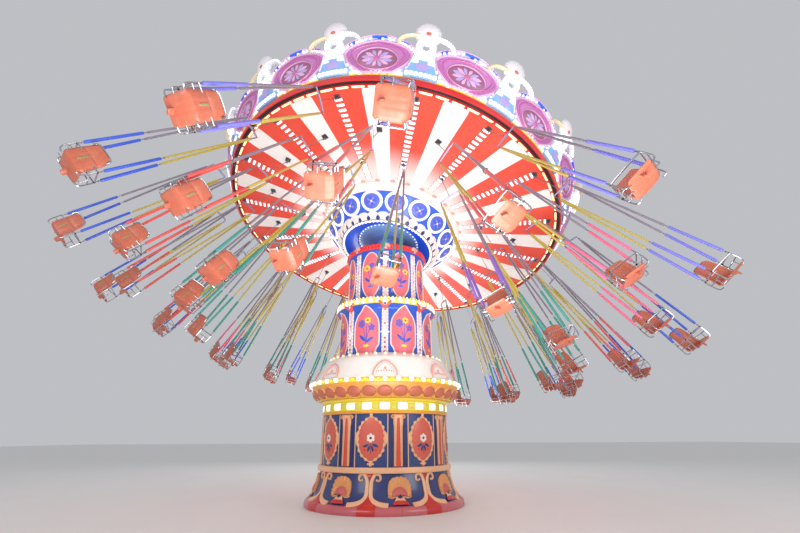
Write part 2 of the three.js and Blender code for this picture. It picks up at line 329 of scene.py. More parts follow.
def meshFrom(name, shape, finishes, sharp):
    mesh = bpy.data.meshes.new(name)
    mesh.from_pydata(shape["points"], [], shape["faces"])
    for finish in finishes:
        mesh.materials.append(finishOf[finish])
    mesh.polygons.foreach_set("material_index", shape["finish"])
    finishMesh(mesh, sharp)
    return mesh


def makePiece(name, mesh, body, place, replaces=()):
    # on the canopy a mesh is turned in its points, so that its box is its true box
    piece = bpy.data.objects.new(name, mesh)
    bpy.context.scene.collection.objects.link(piece)
    if body == "carousel":
        mesh.transform(canopyFrame)
    if place:
        piece.matrix_world = place
    bpy.context.view_layer.update()
    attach(piece, body)
    if replaces:
        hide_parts(*replaces)


def addPiece(name, shape, finishes, sharp, body, replaces=()):
    makePiece(name, meshFrom(name, shape, finishes, sharp), body, None, replaces)


# materials
def hexColour(text):
    values = [int(text[i:i + 2], 16) / 255 for i in (1, 3, 5)]
    return [v / 12.92 if v <= 0.04045 else ((v + 0.055) / 1.055) ** 2.4 for v in values] + [1.0]


def shaded(text, amount):
    return [v * amount for v in hexColour(text)[:3]] + [1.0]


def addNode(tree, kind, settings=None, links=None):
    node = tree.nodes.new(kind)
    for key, value in (settings or {}).items():
        if isinstance(key, int) or key in node.inputs:
            node.inputs[key].default_value = value
        else:
            setattr(node, key, value)
    for key, source in (links or {}).items():
        tree.links.new(source, node.inputs[key])
    return node


def startMaterial(name):
    material = bpy.data.materials.new(name)
    material.use_nodes = True
    tree = material.node_tree
    tree.nodes.clear()
    place = addNode(tree, "ShaderNodeTexCoord").outputs["Object"]
    return material, tree, place


def endMaterial(material, tree, settings, links):
    shader = addNode(tree, "ShaderNodeBsdfPrincipled", settings, links)
    addNode(tree, "ShaderNodeOutputMaterial", links={"Surface": shader.outputs["BSDF"]})
    return material


def mottledColour(tree, place, colour, patch, strength=0.12, dust="#b9aca0", dustShare=0.10):
    # two shades of the same paint in patches, with a thin film of dust over part of them
    patches = addNode(
        tree, "ShaderNodeTexNoise", {"Scale": 1 / patch, "Detail": 5.0, "Roughness": 0.6}, {"Vector": place},
    )
    paint = addNode(
        tree, "ShaderNodeMix",
        {"data_type": "RGBA", 6: shaded(colour, 1 - strength), 7: shaded(colour, 1 + strength)},
        {0: patches.outputs["Fac"]},
    )
    film = addNode(
        tree, "ShaderNodeTexNoise", {"Scale": 0.35 / patch, "Detail": 8.0, "Roughness": 0.7}, {"Vector": place},
    )
    share = addNode(
        tree, "ShaderNodeMapRange", {"From Min": 0.45, "From Max": 0.8, "To Max": dustShare},
        {"Value": film.outputs["Fac"]},
    )
    coated = addNode(
        tree, "ShaderNodeMix", {"data_type": "RGBA", 7: hexColour(dust)},
        {0: share.outputs["Result"], 6: paint.outputs[2]},
    )
    return coated.outputs[2], patches.outputs["Fac"]


def enamelledSteel(name, colour):
    # stove enamel on pressed sheet: a wet gloss with an orange peel, drawn at 45 mm so that it shows
    material, tree, place = startMaterial(name)
    paint, patches = mottledColour(tree, place, colour, 0.5)
    dull = addNode(
        tree, "ShaderNodeMapRange", {"To Min": 0.24, "To Max": 0.4}, {"Value": patches}
    )
    peel = addNode(tree, "ShaderNodeTexNoise", {"Scale": 1 / 0.045, "Detail": 2.0}, {"Vector": place})
    bump = addNode(tree, "ShaderNodeBump", {"Strength": 0.12, "Distance": 0.004}, {"Height": peel.outputs["Fac"]})
    return endMaterial(
        material, tree, {"IOR": 1.5, "Coat Weight": 0.35, "Coat Roughness": 0.08},
        {"Base Color": paint, "Roughness": dull.outputs["Result"], "Normal": bump.outputs["Normal"]},
    )


def mouldedFibreglass(name, colour):
    # painted glass fibre from an open mould: soft edges, a satin gel coat and low waves about 90 mm long
    material, tree, place = startMaterial(name)
    paint = mottledColour(tree, place, colour, 0.22, 0.09, "#a5745a", 0.16)[0]
    waves = addNode(
        tree, "ShaderNodeTexNoise", {"Scale": 1 / 0.09, "Detail": 4.0, "Roughness": 0.55}, {"Vector": place},
    )
    bump = addNode(tree, "ShaderNodeBump", {"Strength": 0.25, "Distance": 0.006}, {"Height": waves.outputs["Fac"]})
    dull = addNode(
        tree, "ShaderNodeMapRange", {"To Min": 0.34, "To Max": 0.54}, {"Value": waves.outputs["Fac"]}
    )
    return endMaterial(
        material, tree, {"IOR": 1.52, "Coat Weight": 0.25, "Coat Roughness": 0.15},
        {"Base Color": paint, "Roughness": dull.outputs["Result"], "Normal": bump.outputs["Normal"]},
    )


def opalLamp(name, colour, glow, strength):
    # opal polycarbonate over a lamp: a little uneven from cap to cap
    material, tree, place = startMaterial(name)
    uneven = addNode(tree, "ShaderNodeTexNoise", {"Scale": 1 / 0.3, "Detail": 1.0}, {"Vector": place})
    light = addNode(
        tree, "ShaderNodeMix", {"data_type": "RGBA", 6: shaded(glow, 0.85), 7: hexColour(colour)},
        {0: uneven.outputs["Fac"]},
    )
    return endMaterial(
        material, tree, {"IOR": 1.58, "Roughness": 0.25, "Emission Strength": strength},
        {"Base Color": light.outputs[2], "Emission Color": light.outputs[2]},
    )


def paintedPlywood(name, colour, paintedGlare):
    # canvas-primed ply painted by roller: matt, faint grain along each board; near the centre a painted glare mixes
    # the paint into near white, standing in for the light of the lamps there
    material, tree, place = startMaterial(name)
    paint = mottledColour(tree, place, colour, 0.6, 0.07, "#c9b7aa", 0.12)[0]
    grain = addNode(
        tree, "ShaderNodeTexNoise", {"Scale": 1 / 0.05, "Detail": 6.0, "Distortion": 1.5}, {"Vector": place}
    )
    flat = addNode(tree, "ShaderNodeVectorMath", {"operation": "MULTIPLY", 1: (1, 1, 0)}, {0: place})
    far = addNode(tree, "ShaderNodeVectorMath", {"operation": "LENGTH"}, {0: flat.outputs["Vector"]})
    # painted glare: between 3.1 m and 2.1 m from the axis the paint is mixed more and more into near white
    pale = addNode(
        tree, "ShaderNodeMapRange",
        {"interpolation_type": "SMOOTHSTEP", "From Min": 2.1, "From Max": 3.1, "To Min": paintedGlare, "To Max": 0.0},
        {"Value": far.outputs["Value"]},
    )
    lit = addNode(
        tree, "ShaderNodeMix", {"data_type": "RGBA", 7: hexColour("#fff6f2")}, {0: pale.outputs["Result"], 6: paint}
    )
    bump = addNode(tree, "ShaderNodeBump", {"Strength": 0.2, "Distance": 0.003}, {"Height": grain.outputs["Fac"]})
    return endMaterial(
        material, tree, {"IOR": 1.5, "Roughness": 0.5},
        {"Base Color": lit.outputs[2], "Normal": bump.outputs["Normal"]},
    )


def platedSteel(name, colour, roughness):
    # plated steel tube: mirror-like with fine wiping marks, drawn at 20 mm so that they show
    material, tree, place = startMaterial(name)
    marks = addNode(tree, "ShaderNodeTexNoise", {"Scale": 1 / 0.02, "Detail": 3.0}, {"Vector": place})
    tone = addNode(
        tree, "ShaderNodeMix", {"data_type": "RGBA", 6: shaded(colour, 0.8), 7: hexColour(colour)},
        {0: marks.outputs["Fac"]},
    )
    dull = addNode(
        tree, "ShaderNodeMapRange", {"To Min": roughness * 0.6, "To Max": roughness * 1.5},
        {"Value": marks.outputs["Fac"]},
    )
    return endMaterial(
        material, tree, {"Metallic": 1.0}, {"Base Color": tone.outputs[2], "Roughness": dull.outputs["Result"]},
    )


def vinylSleeve(name, colour):
    # soft PVC hose over the chain: it takes the links' shape in rings about 60 mm apart
    material, tree, place = startMaterial(name)
    paint = mottledColour(tree, place, colour, 0.1, 0.15, "#d8d0c8", 0.05)[0]
    rings = addNode(
        tree, "ShaderNodeTexWave",
        {"wave_type": "BANDS", "bands_direction": "Z", "Scale": 0.3 / 0.06, "Distortion": 0.6}, {"Vector": place},
    )
    bump = addNode(tree, "ShaderNodeBump", {"Strength": 0.35, "Distance": 0.004}, {"Height": rings.outputs["Fac"]})
    return endMaterial(
        material, tree, {"IOR": 1.53, "Roughness": 0.34, "Coat Weight": 0.15},
        {"Base Color": paint, "Normal": bump.outputs["Normal"]}
    )


def rotomouldedPolythene(name, colour):
    # the chairs are rotationally moulded: a waxy skin with a pebble grain, drawn at 12 mm, with scuffed patches of
    # duller skin
    material, tree, place = startMaterial(name)
    paint = mottledColour(tree, place, colour, 0.12, 0.1, "#f0c9ad", 0.14)[0]
    pebble = addNode(tree, "ShaderNodeTexVoronoi", {"Scale": 1 / 0.012}, {"Vector": place})
    scuffs = addNode(
        tree, "ShaderNodeTexNoise", {"Scale": 1 / 0.03, "Detail": 7.0, "Distortion": 2.0}, {"Vector": place},
    )
    bump = addNode(
        tree, "ShaderNodeBump", {"Strength": 0.2, "Distance": 0.002}, {"Height": pebble.outputs["Distance"]},
    )
    dull = addNode(tree, "ShaderNodeMapRange", {"To Min": 0.28, "To Max": 0.55}, {"Value": scuffs.outputs["Fac"]})
    return endMaterial(
        material, tree, {"IOR": 1.51, "Coat Weight": 0.2, "Coat Roughness": 0.2},
        {"Base Color": paint, "Roughness": dull.outputs["Result"], "Normal": bump.outputs["Normal"]},
    )


def facetedAcrylic(name, colour):
    # cut acrylic stones with a mirrored back: deep colour with painted glints, the base colour brightening across
    # each facet of about 15 mm
    material, tree, place = startMaterial(name)
    facets = addNode(tree, "ShaderNodeTexVoronoi", {"Scale": 1 / 0.015}, {"Vector": place})
    # painted glints: the colour runs from 0.6 to 1.5 times the stone's blue across each facet
    tone = addNode(
        tree, "ShaderNodeMix", {"data_type": "RGBA", 6: shaded(colour, 0.6), 7: shaded(colour, 1.5)},
        {0: facets.outputs["Distance"]},
    )
    bump = addNode(
        tree, "ShaderNodeBump", {"Strength": 0.6, "Distance": 0.004}, {"Height": facets.outputs["Distance"]},
    )
    return endMaterial(
        material, tree, {"IOR": 1.49, "Roughness": 0.08, "Coat Weight": 1.0},
        {"Base Color": tone.outputs[2], "Normal": bump.outputs["Normal"]},
    )


enamelColours = {
    "plinth": "#c8626a", "plinthBlock": "#c92a22", "skirt": "#24316f", "drum": "#213a7a", "litBand": "#f3dc3c",
    "line": "#eda23a", "lampGap": "#dcd95a", "dome": "#fbf6ee", "tower": "#2458cc", "crownRed": "#ec222a",
    # coveDisc is paler than the disc's own blue: painted light from below
    "cone": "#2c5fdc", "navy": "#1b2a6e", "cove": "#1f66ff", "coveDisc": "#86bbff", "rim": "#dc2328",
    "channel": "#17161b", "fascia": "#c9d8f6", "bracket": "#86b2ee", "roof": "#b9bcc8", "hookSteel": "#4a4650",
    # the chairs' pale olive strip is a painted highlight
    "chairHighlight": "#98925a",
}
fibreglassColours = {
    "trim": "#f4bd90", "shell": "#e59c5c", "shellHeart": "#cd6460", "cartouche": "#d8604c", "pilasterRed": "#dd4a2c",
    "medallion": "#c9694b", "gable": "#f0a596", "oval": "#f4707f", "ovalTrim": "#fdeadb", "towerPilaster": "#f8d9da",
    "dot": "#c9405e", "vBracket": "#f15a36", "finial": "#eeb6a8", "coneMedallion": "#5468d8", "coneHeart": "#8d8ae8",
    "dentil": "#fdeee6", "mauve": "#c27abb", "mauvePale": "#e2abd2", "mauveHeart": "#c468a4", "mauveDeep": "#9a5a80",
    "lavender": "#b3a0dc", "scroll": "#e6ebf5", "ballShell": "#ece4ea", "ballSpot": "#dc6a54", "ballGlow": "#e8b4ac",
    "loopPale": "#e6dcb4",
}
finishOf = {name: enamelledSteel(name + "Enamel", colour) for name, colour in enamelColours.items()}
for name, colour in fibreglassColours.items():
    finishOf[name] = mouldedFibreglass(name + "Fibreglass", colour)
finishOf.update({
    "jewelAcrylic": facetedAcrylic("jewelAcrylic", "#2a68e6"),
    "lampWhite": opalLamp("opalLampWhite", "#ffffff", "#eef4ff", 0.85),
    "lampWarm": opalLamp("opalLampWarm", "#fff6cc", "#ffe98a", 0.95),
    "lampYellow": opalLamp("opalLampYellow", "#ffe93c", "#f7d41a", 0.75),
    # the last number is how far the painted glare near the centre whitens the boards
    "boardRed": paintedPlywood("boardRedPly", "#ea4a35", 0.8),
    "boardWhite": paintedPlywood("boardWhitePly", "#f6efeb", 0.9),
    "chromedTube": platedSteel("chromedTube", "#c9cdd3", 0.2),
    "zincChain": platedSteel("galvanisedChain", "#9a9aa2", 0.38),
    "spreaderSteel": platedSteel("spreaderSteel", "#b7b2d6", 0.3),
    "greyForging": platedSteel("blackenedForging", "#3c3a40", 0.5),
    "chairPlastic": rotomouldedPolythene("chairPolythene", "#c0634a"),
    "greyHose": vinylSleeve("greyHosePvc", "#857b8a"),
    "yellowHose": vinylSleeve("yellowHosePvc", "#bda945"),
})
print("materials made")


def arc(degrees, radius):
    return math.radians(degrees) * radius


# the fixed base: plinth ring, flared skirt with shells and volutes
baseLook = {"sides": 8, "shellHeading": -77.0, "reference": 1.68, "blockHalf": 5.75, "joint": 0.06}


def makePlinth():
    ringOutline = [
        (1.34, 0.002), (1.896, 0.002), (1.906, 0.02), (1.910, 0.06), (1.906, 0.098), (1.888, 0.13), (1.858, 0.155),
        (1.82, 0.168), (1.79, 0.166), (1.79, 0.062), (1.34, 0.062),
    ]
    proud = [(r + 0.005 if r > 1.8 else r, z + 0.004 if z > 0.1 else z) for r, z in ringOutline]
    shape = newShape()
    side, half, joint = 360 / baseLook["sides"], baseLook["blockHalf"], baseLook["joint"]
    length = (side - 2 * half) / 2
    for k in range(baseLook["sides"]):
        block = baseLook["shellHeading"] + side * (k + 0.5)
        addLathe(shape, proud, 1, 8, block - half, 2 * half, caps=True)
        # two pink lengths between the blocks, with a joint between them
        for start in (block + half, block + half + length):
            addLathe(shape, ringOutline, 0, 12, start + joint, length - 2 * joint, caps=True)
    addLathe(shape, [(1.338, 0.003), (0.0, 0.003)], 0, 64)
    addPiece("plinth_ring", shape, ["plinth", "plinthBlock"], 35, "root", ["base_plinth"])


skirtProfile = [(1.911, 0), (1.911, 0.09), (1.78, 0.19), (1.68, 0.34), (1.605, 0.56), (1.56, 0.8)]


def makeSkirt():
    shape = newShape()
    outline = [
        (1.79, 0.16), (1.775, 0.19), (1.726, 0.26), (1.68, 0.34), (1.636, 0.45), (1.603, 0.56), (1.577, 0.68),
        (1.56, 0.8),
    ]
    addLathe(shape, outline, 0)
    band = [
        (1.56, 0.754), (1.606, 0.752), (1.624, 0.758), (1.633, 0.772), (1.634, 0.812), (1.633, 0.85), (1.628, 0.865),
        (1.615, 0.872), (1.5, 0.872),
    ]
    addLathe(shape, band, 1)
    addPiece("skirt_wall", shape, ["skirt", "trim"], 30, "root", ["base_skirt"])


def voluteShape():
    # one half of the double scroll, across in degrees and up the skirt in metres
    line = [
        (5.6, 0.735), (6.9, 0.722), (8.2, 0.745), (8.4, 0.8), (7.2, 0.845), (5.2, 0.855), (3.6, 0.825), (2.3, 0.76),
        (1.6, 0.69), (1.5, 0.6), (1.5, 0.5), (2.0, 0.41), (3.9, 0.33), (7.5, 0.27), (11.2, 0.238), (14.0, 0.222),
    ]
    widths = [
        0.03, 0.042, 0.05, 0.056, 0.062, 0.066, 0.072, 0.08, 0.085, 0.088, 0.09, 0.094, 0.104, 0.116, 0.132, 0.146,
    ]
    path = smoothPath([(arc(x, baseLook["reference"]), y, w) for (x, y), w in zip(line, widths)], 4)
    shape = newShape()
    for hand in (1, -1):
        addRibbon(shape, [(hand * x, y) for x, y, w in path], [w for x, y, w in path], 0.03, 0)
        addBall(shape, (hand * path[0][0], path[0][1], 0.012), 0.024, 0, 10, 5)
    deep = arc(1, baseLook["reference"])
    wedge = [(0.02, 0.445), (0.9, 0.40), (2.2, 0.345), (4.0, 0.285), (5.6, 0.225), (5.75, 0.15)]
    addPanel(shape, panelRows([(x * deep, y) for x, y in wedge]), 1, 0.014, 0.012, 8)
    top = [(3.5, 0.862), (2.6, 0.83), (1.3, 0.79), (0.1, 0.755)]
    addPanel(shape, panelRows([(x * deep, y) for x, y in top]), 1, 0.014, 0.008, 6)
    return shape


def between(table, value):
    # straight lines between measured points
    for (a, x), (b, y) in zip(table, table[1:]):
        if value <= b:
            return x + (y - x) * max(value - a, 0) / (b - a)
    return table[-1][1]


def scallopShape():
    # a squarish ribbed fan over a rosy dome, a dark eye, a cream neck and a red foot
    fan = [
        (0, 0.35), (18.7, 0.356), (33.1, 0.352), (46.6, 0.325), (57.8, 0.292), (71.6, 0.264), (86.8, 0.247),
        (104.4, 0.222),
    ]
    shape = newShape()
    ribs, steps, hinge = 13, 104, 0.45
    rows, heart = [], []
    for i in range(steps + 1):
        turn = -104 + 208 * i / steps
        angle = math.radians(turn)
        lobe = math.cos(ribs * math.pi * 2 * i / steps)
        reach = between(fan, abs(turn)) * (1 + 0.012 * lobe)
        near = min(0.155, reach * 0.85)
        row = []
        for share in (0.0, 0.2, 0.42, 0.64, 0.82, 0.94, 1.0, 1.02):
            size = near + (reach - near) * share
            rise = 0.012 + 0.034 * math.sin(math.pi * min(share, 1) * 0.78) + 0.008 * lobe * share
            row.append((size * math.sin(angle), hinge + size * math.cos(angle), rise if share <= 1 else -0.01))
        rows.append(row)
        inner = []
        for share in (0.08, 0.3, 0.55, 0.78, 0.94, 1.0):
            size = 0.172 * share
            inner.append((
                size * 1.05 * math.sin(angle), hinge - 0.012 + size * math.cos(angle),
                0.012 + 0.05 * math.cos(math.pi / 2 * share ** 1.6) + 0.004 * lobe * share,
            ))
        heart.append(inner)
    addGrid(shape, rows, 0)
    addGrid(shape, heart, 1)
    for hand in (1, -1):  # pale lips under the dome
        addRibbon(shape, [
            (hand * 0.246, 0.425), (hand * 0.2, 0.4), (hand * 0.14, 0.398), (hand * 0.085, 0.42),
        ], 0.034, 0.034, 4)
    neck = [(0.075, 0.452), (0.082, 0.42), (0.088, 0.39), (0.10, 0.35), (0.132, 0.305)]
    addPanel(shape, panelRows(neck), 4, 0.018, 0.014, 10)
    addBoss(shape, (0, 0.405), 0.046, 0.034, 0.008, 3, 0.03, 16)
    addRibbon(shape, ovalPath((0, 0.405), 0.056, 0.044, 20), 0.02, 0.04, 4, closed=True)
    base = [(0.06, 0.335), (0.12, 0.318), (0.155, 0.285), (0.161, 0.236), (0.1, 0.25), (0.03, 0.238)]
    addPanel(shape, panelRows(base), 2, 0.024, 0.012, 8)
    return shape


def makeSkirtOrnaments():
    wall = wallFrom(skirtProfile)
    volutes, shells = newShape(), newShape()
    volute, scallop = voluteShape(), scallopShape()
    seat, first = onWall(wall, baseLook["reference"]), baseLook["shellHeading"]
    addAround(shells, scallop, seat, baseLook["sides"], first)
    addAround(volutes, volute, seat, baseLook["sides"], first + 180 / baseLook["sides"])
    addPiece("skirt_volutes", volutes, ["trim", "plinthBlock"], 50, "root")
    addPiece("skirt_shells", shells, [
        "shell", "shellHeart", "plinthBlock", "navy", "trim",
    ], 50, "root")


# the blue drum with its cartouches and pilasters
drumLook = {
    "radius": 1.539, "low": 0.873, "high": 1.969, "foot": 0.84, "frame": 0.05, "stripFoot": 620, "rowsPerMetre": 534,
}


def stripUp(row):
    # metres up the drum's ornaments from a row of the unrolled strip they were measured on
    return (drumLook["stripFoot"] - row) / drumLook["rowsPerMetre"]


def flowerMotif(shape, centre, size, petal, heart, petals=6):
    # a plain rosette that stands in each painted oval
    for k in range(petals):
        angle = 2 * math.pi * k / petals
        x, y = centre[0] + size * 0.58 * math.sin(angle), centre[1] + size * 0.58 * math.cos(angle)
        addBall(shape, (x, y, centre[2]), size * 0.36, petal, 10, 4, 0.14)
    addBall(shape, (centre[0], centre[1], centre[2] + 0.004), size * 0.27, heart, 10, 4, 0.25)


def leafMotif(shape, start, end, width, finish, out):
    rows = []
    across = Vector((end[1] - start[1], start[0] - end[0])).normalized()
    for i in range(9):
        t = i / 8
        half = width * math.sin(math.pi * t) ** 0.8 / 2 + 0.001
        x, y = start[0] + (end[0] - start[0]) * t, start[1] + (end[1] - start[1]) * t
        rows.append([
            (x - across.x * half, y - across.y * half, out), (x, y, out + 0.006),
            (x + across.x * half, y + across.y * half, out),
        ])
    addGrid(shape, rows, finish)


def scalloped(path, lobes, base, swell):
    # widths that swell a whole number of times round a closed outline
    lengths = [0.0]
    for a, b in zip(path, path[1:] + path[:1]):
        lengths.append(lengths[-1] + math.dist(a, b))
    return [base + swell * math.cos(2 * math.pi * lobes * along / lengths[-1]) for along in lengths[:-1]]


def cartoucheShape():
    radius = drumLook["radius"]
    measured = [
        (0.0, 50), (2.4, 66), (4.3, 84), (5.0, 99), (7.2, 113), (8.1, 138), (9.7, 166), (10.2, 196), (11.2, 236),
        (11.3, 290), (11.2, 345), (10.4, 396), (10.0, 424), (8.7, 450), (8.1, 470), (6.4, 492), (5.0, 509),
        (3.6, 521), (2.0, 536), (0.0, 548),
    ]
    half = [(arc(x, radius), stripUp(y)) for x, y in measured]
    shape = newShape()
    addPanel(shape, panelRows([(max(x - 0.012, 0.001), y) for x, y in half]), 1, 0.012, 0.02, 12)
    rim = smoothPath(mirrored(half), 4, True)
    addRibbon(shape, rim, scalloped(rim, 20, drumLook["frame"], 0.022), 0.034, 0, closed=True)
    # knobs over, under and at both sides; the lower one is a small cross
    for up in (stripUp(27), stripUp(570)):
        addBlock(shape, (-0.03, up - 0.045, -0.01), (0.03, up + 0.045, 0.022), 0, 0.008)
        addBall(shape, (0, up, 0.02), 0.04, 0, 12, 6, 0.7)
    addBlock(shape, (-0.075, 0.078, -0.01), (0.075, 0.118, 0.024), 0, 0.008)
    for hand in (1, -1):
        x = hand * arc(12.5, radius)
        line = [(x, stripUp(y)) for y in (228, 250, 275, 292, 312, 336, 358)]
        addRibbon(shape, line, [0.03, 0.05, 0.075, 0.085, 0.075, 0.05, 0.03], 0.03, 0)
    flowerMotif(shape, (0, 0.62, 0.036), 0.1, 2, 3)
    for hand in (1, -1):
        leafMotif(shape, (hand * 0.03, 0.5), (hand * 0.17, 0.44), 0.06, 3, 0.032)
        leafMotif(shape, (hand * 0.02, 0.48), (hand * 0.06, 0.34), 0.05, 3, 0.032)
        addBall(shape, (hand * 0.125, 0.385, 0.03), 0.022, 4, 8, 4, 0.5)
    addRibbon(shape, [(0, 0.52), (0.0, 0.42), (0.01, 0.3)], 0.014, 0.008, 3, lift=0.028)
    return shape


def drumPilasterShape():
    radius = drumLook["radius"]
    deep = arc(1, radius)
    body = [(3.6, 22), (3.5, 60), (3.5, 118), (3.1, 165), (3.0, 300), (3.0, 450), (3.0, 592)]
    shape = newShape()
    addPanel(shape, panelRows([(x * deep, stripUp(y)) for x, y in body]), 0, 0.026, 0.0, 6)
    for hand in (1, -1):
        edge = smoothPath([(hand * x * deep, stripUp(y)) for x, y in body], 3)
        addRibbon(shape, edge, 0.034, 0.03, 0, lift=0.012)
        # the capital: a bar with a round scroll at each end
        scroll = [
            (0.118 + 0.044 * math.cos(a) * (1 - i / 24), 1.062 + 0.044 * math.sin(a) * (1 - i / 24))
            for i, a in enumerate([math.pi * 0.5 - 0.45 * k for k in range(16)])
        ]
        addRibbon(
            shape, [(0.0, 1.104), (hand * 0.07, 1.106)] + [(hand * x, y) for x, y in scroll], 0.026, 0.04, 0,
            lift=0.01,
        )
        addBoss(shape, (hand * 0.118, 1.062), 0.046, 0.046, 0.026, 0, 0.0, 18)
        addBall(shape, (hand * 0.118, 1.062, 0.028), 0.016, 1, 10, 5)
        addRibbon(shape, [(hand * arc(8.65, radius), 0.03), (hand * arc(8.65, radius), 1.125)], 0.026, 0.014, 0)
        # raised flutes; their darker skirt navy is painted shade, standing in for the shade in the grooves
        for x in (4.7, 5.9, 7.1):
            addRibbon(shape, [
                (hand * arc(x, radius), 0.04), (hand * arc(x, radius), 0.9 if x < 5 else 1.05),
            ], 0.02, 0.012, 2)
    addBlock(shape, (-0.1, 1.04, -0.01), (0.1, 1.108, 0.03), 0, 0.01)
    stripe = [(0.9, 66), (1.1, 80), (1.4, 150), (1.6, 300), (1.8, 450), (2.0, 594)]
    addPanel(shape, panelRows([(x * deep, stripUp(y)) for x, y in stripe]), 1, 0.03, 0.016, 8)
    return shape


def makeDrum():
    radius, low, high = drumLook["radius"], drumLook["low"], drumLook["high"]
    shape = newShape()
    addLathe(shape, [(1.5, low), (radius, low), (radius, high), (1.46, high)], 0)
    addPiece("drum_wall", shape, ["drum"], 30, "root", ["base_drum"])
    wall = wallFrom([(radius, drumLook["foot"]), (radius, 2.0)])
    cartouches, pilasters = newShape(), newShape()
    cartouche, pilaster = cartoucheShape(), drumPilasterShape()
    seat, first = onWall(wall, radius), baseLook["shellHeading"]
    addAround(pilasters, pilaster, seat, baseLook["sides"], first)
    addAround(cartouches, cartouche, seat, baseLook["sides"], first + 180 / baseLook["sides"])
    finishes = ["trim", "cartouche", "ovalTrim", "navy", "crownRed"]
    addPiece("drum_cartouches", cartouches, finishes, 50, "root")
    addPiece("drum_pilasters", pilasters, ["trim", "pilasterRed", "skirt"], 50, "root")


# the lit cornice over the drum, and the white dome
corniceLook = {
    "heading": -88.25, "lamps": 24, "medallions": 32, "bulbs": 40,
    "lampReach": 1.572, "medallionReach": 1.80, "bulbReach": 1.88,
}
corniceProfile = [
    (1.572, 2.034), (1.572, 2.236), (1.655, 2.285), (1.79, 2.4), (1.893, 2.6), (1.906, 2.69), (1.85, 2.74),
]


def makeCornice():
    shape = newShape()
    addLathe(shape, [
        (1.5, 1.973), (1.583, 1.973), (1.592, 1.985), (1.594, 2.003), (1.588, 2.024), (1.574, 2.034),
    ], 1)
    addLathe(shape, [
        (1.574, 2.034), (1.570, 2.042), (1.570, 2.230), (1.580, 2.238), (1.612, 2.246), (1.646, 2.258),
        (1.66, 2.274), (1.66, 2.29), (1.646, 2.3),
    ], 0)
    addLathe(shape, [(1.646, 2.3), (1.70, 2.322), (1.785, 2.40), (1.838, 2.49), (1.878, 2.585), (1.892, 2.64)], 1)
    addLathe(shape, [(1.892, 2.64), (1.905, 2.662), (1.906, 2.69), (1.884, 2.722), (1.85, 2.741), (1.79, 2.741)], 0)
    wall = wallFrom(corniceProfile)
    look = corniceLook
    lamp, spacer = newShape(), newShape()
    addPillow(lamp, (-0.112, 0.028), (0.112, 0.178), 0.03, 2)
    addRibbon(lamp, [(-0.12, 0.022), (0.12, 0.022), (0.12, 0.184), (-0.12, 0.184)], 0.016, 0.02, 0, closed=True)
    addPillow(spacer, (-0.068, 0.04), (0.068, 0.166), 0.014, 3)
    addAround(shape, lamp, onWall(wall, look["lampReach"]), look["lamps"], look["heading"])
    addAround(shape, spacer, onWall(wall, look["lampReach"]), look["lamps"], look["heading"] + 180 / look["lamps"])
    addPiece(
        "cornice_ring", shape, ["litBand", "line", "lampWhite", "lampGap"], 35, "root",
        ["light_cornice"],
    )

    medallions, one = newShape(), newShape()
    middle = (0, 0.51)
    addBoss(one, middle, 0.164, 0.136, 0.034, 0, 0.012, 28)
    for k in range(11):
        angle = math.radians(197 + 146 * k / 10)
        addBulb(one, (0.166 * math.cos(angle), 0.51 + 0.148 * math.sin(angle), 0.014), 0.0155, 1)
    addRibbon(one, ovalPath(middle, 0.172, 0.146, 40)[1:20], 0.016, 0.028, 2)
    addBoss(one, (0.0, 0.52), 0.055, 0.045, 0.006, 0, 0.044, 16)
    leafMotif(one, (0.177, 0.355), (0.177, 0.45), 0.036, 2, 0.02)
    addAround(medallions, one, onWall(wall, look["medallionReach"]), look["medallions"], look["heading"])
    addPiece("cornice_medallions", medallions, ["medallion", "litBand", "trim"], 50, "root")

    bulbs, pair = newShape(), newShape()
    addBoss(pair, (0, 0.79), 0.066, 0.052, 0.012, 1, 0.0, 12)
    addBall(pair, (0, 0.79, 0.03), 0.052, 0, 12, 6)
    addBoss(pair, (0.147, 0.79), 0.04, 0.04, 0.01, 1, 0.0, 10)
    addBulb(pair, (0.147, 0.79, 0.018), 0.03, 2)
    addAround(bulbs, pair, onWall(wall, look["bulbReach"]), look["bulbs"], look["heading"])
    addPiece("cornice_bulbs", bulbs, ["lampWhite", "litBand", "lampYellow"], 50, "root")


domeLook = {"gableFoot": (1.852, 2.785), "gableLean": 21, "gableThick": 0.058, "bulbReach": 1.45}


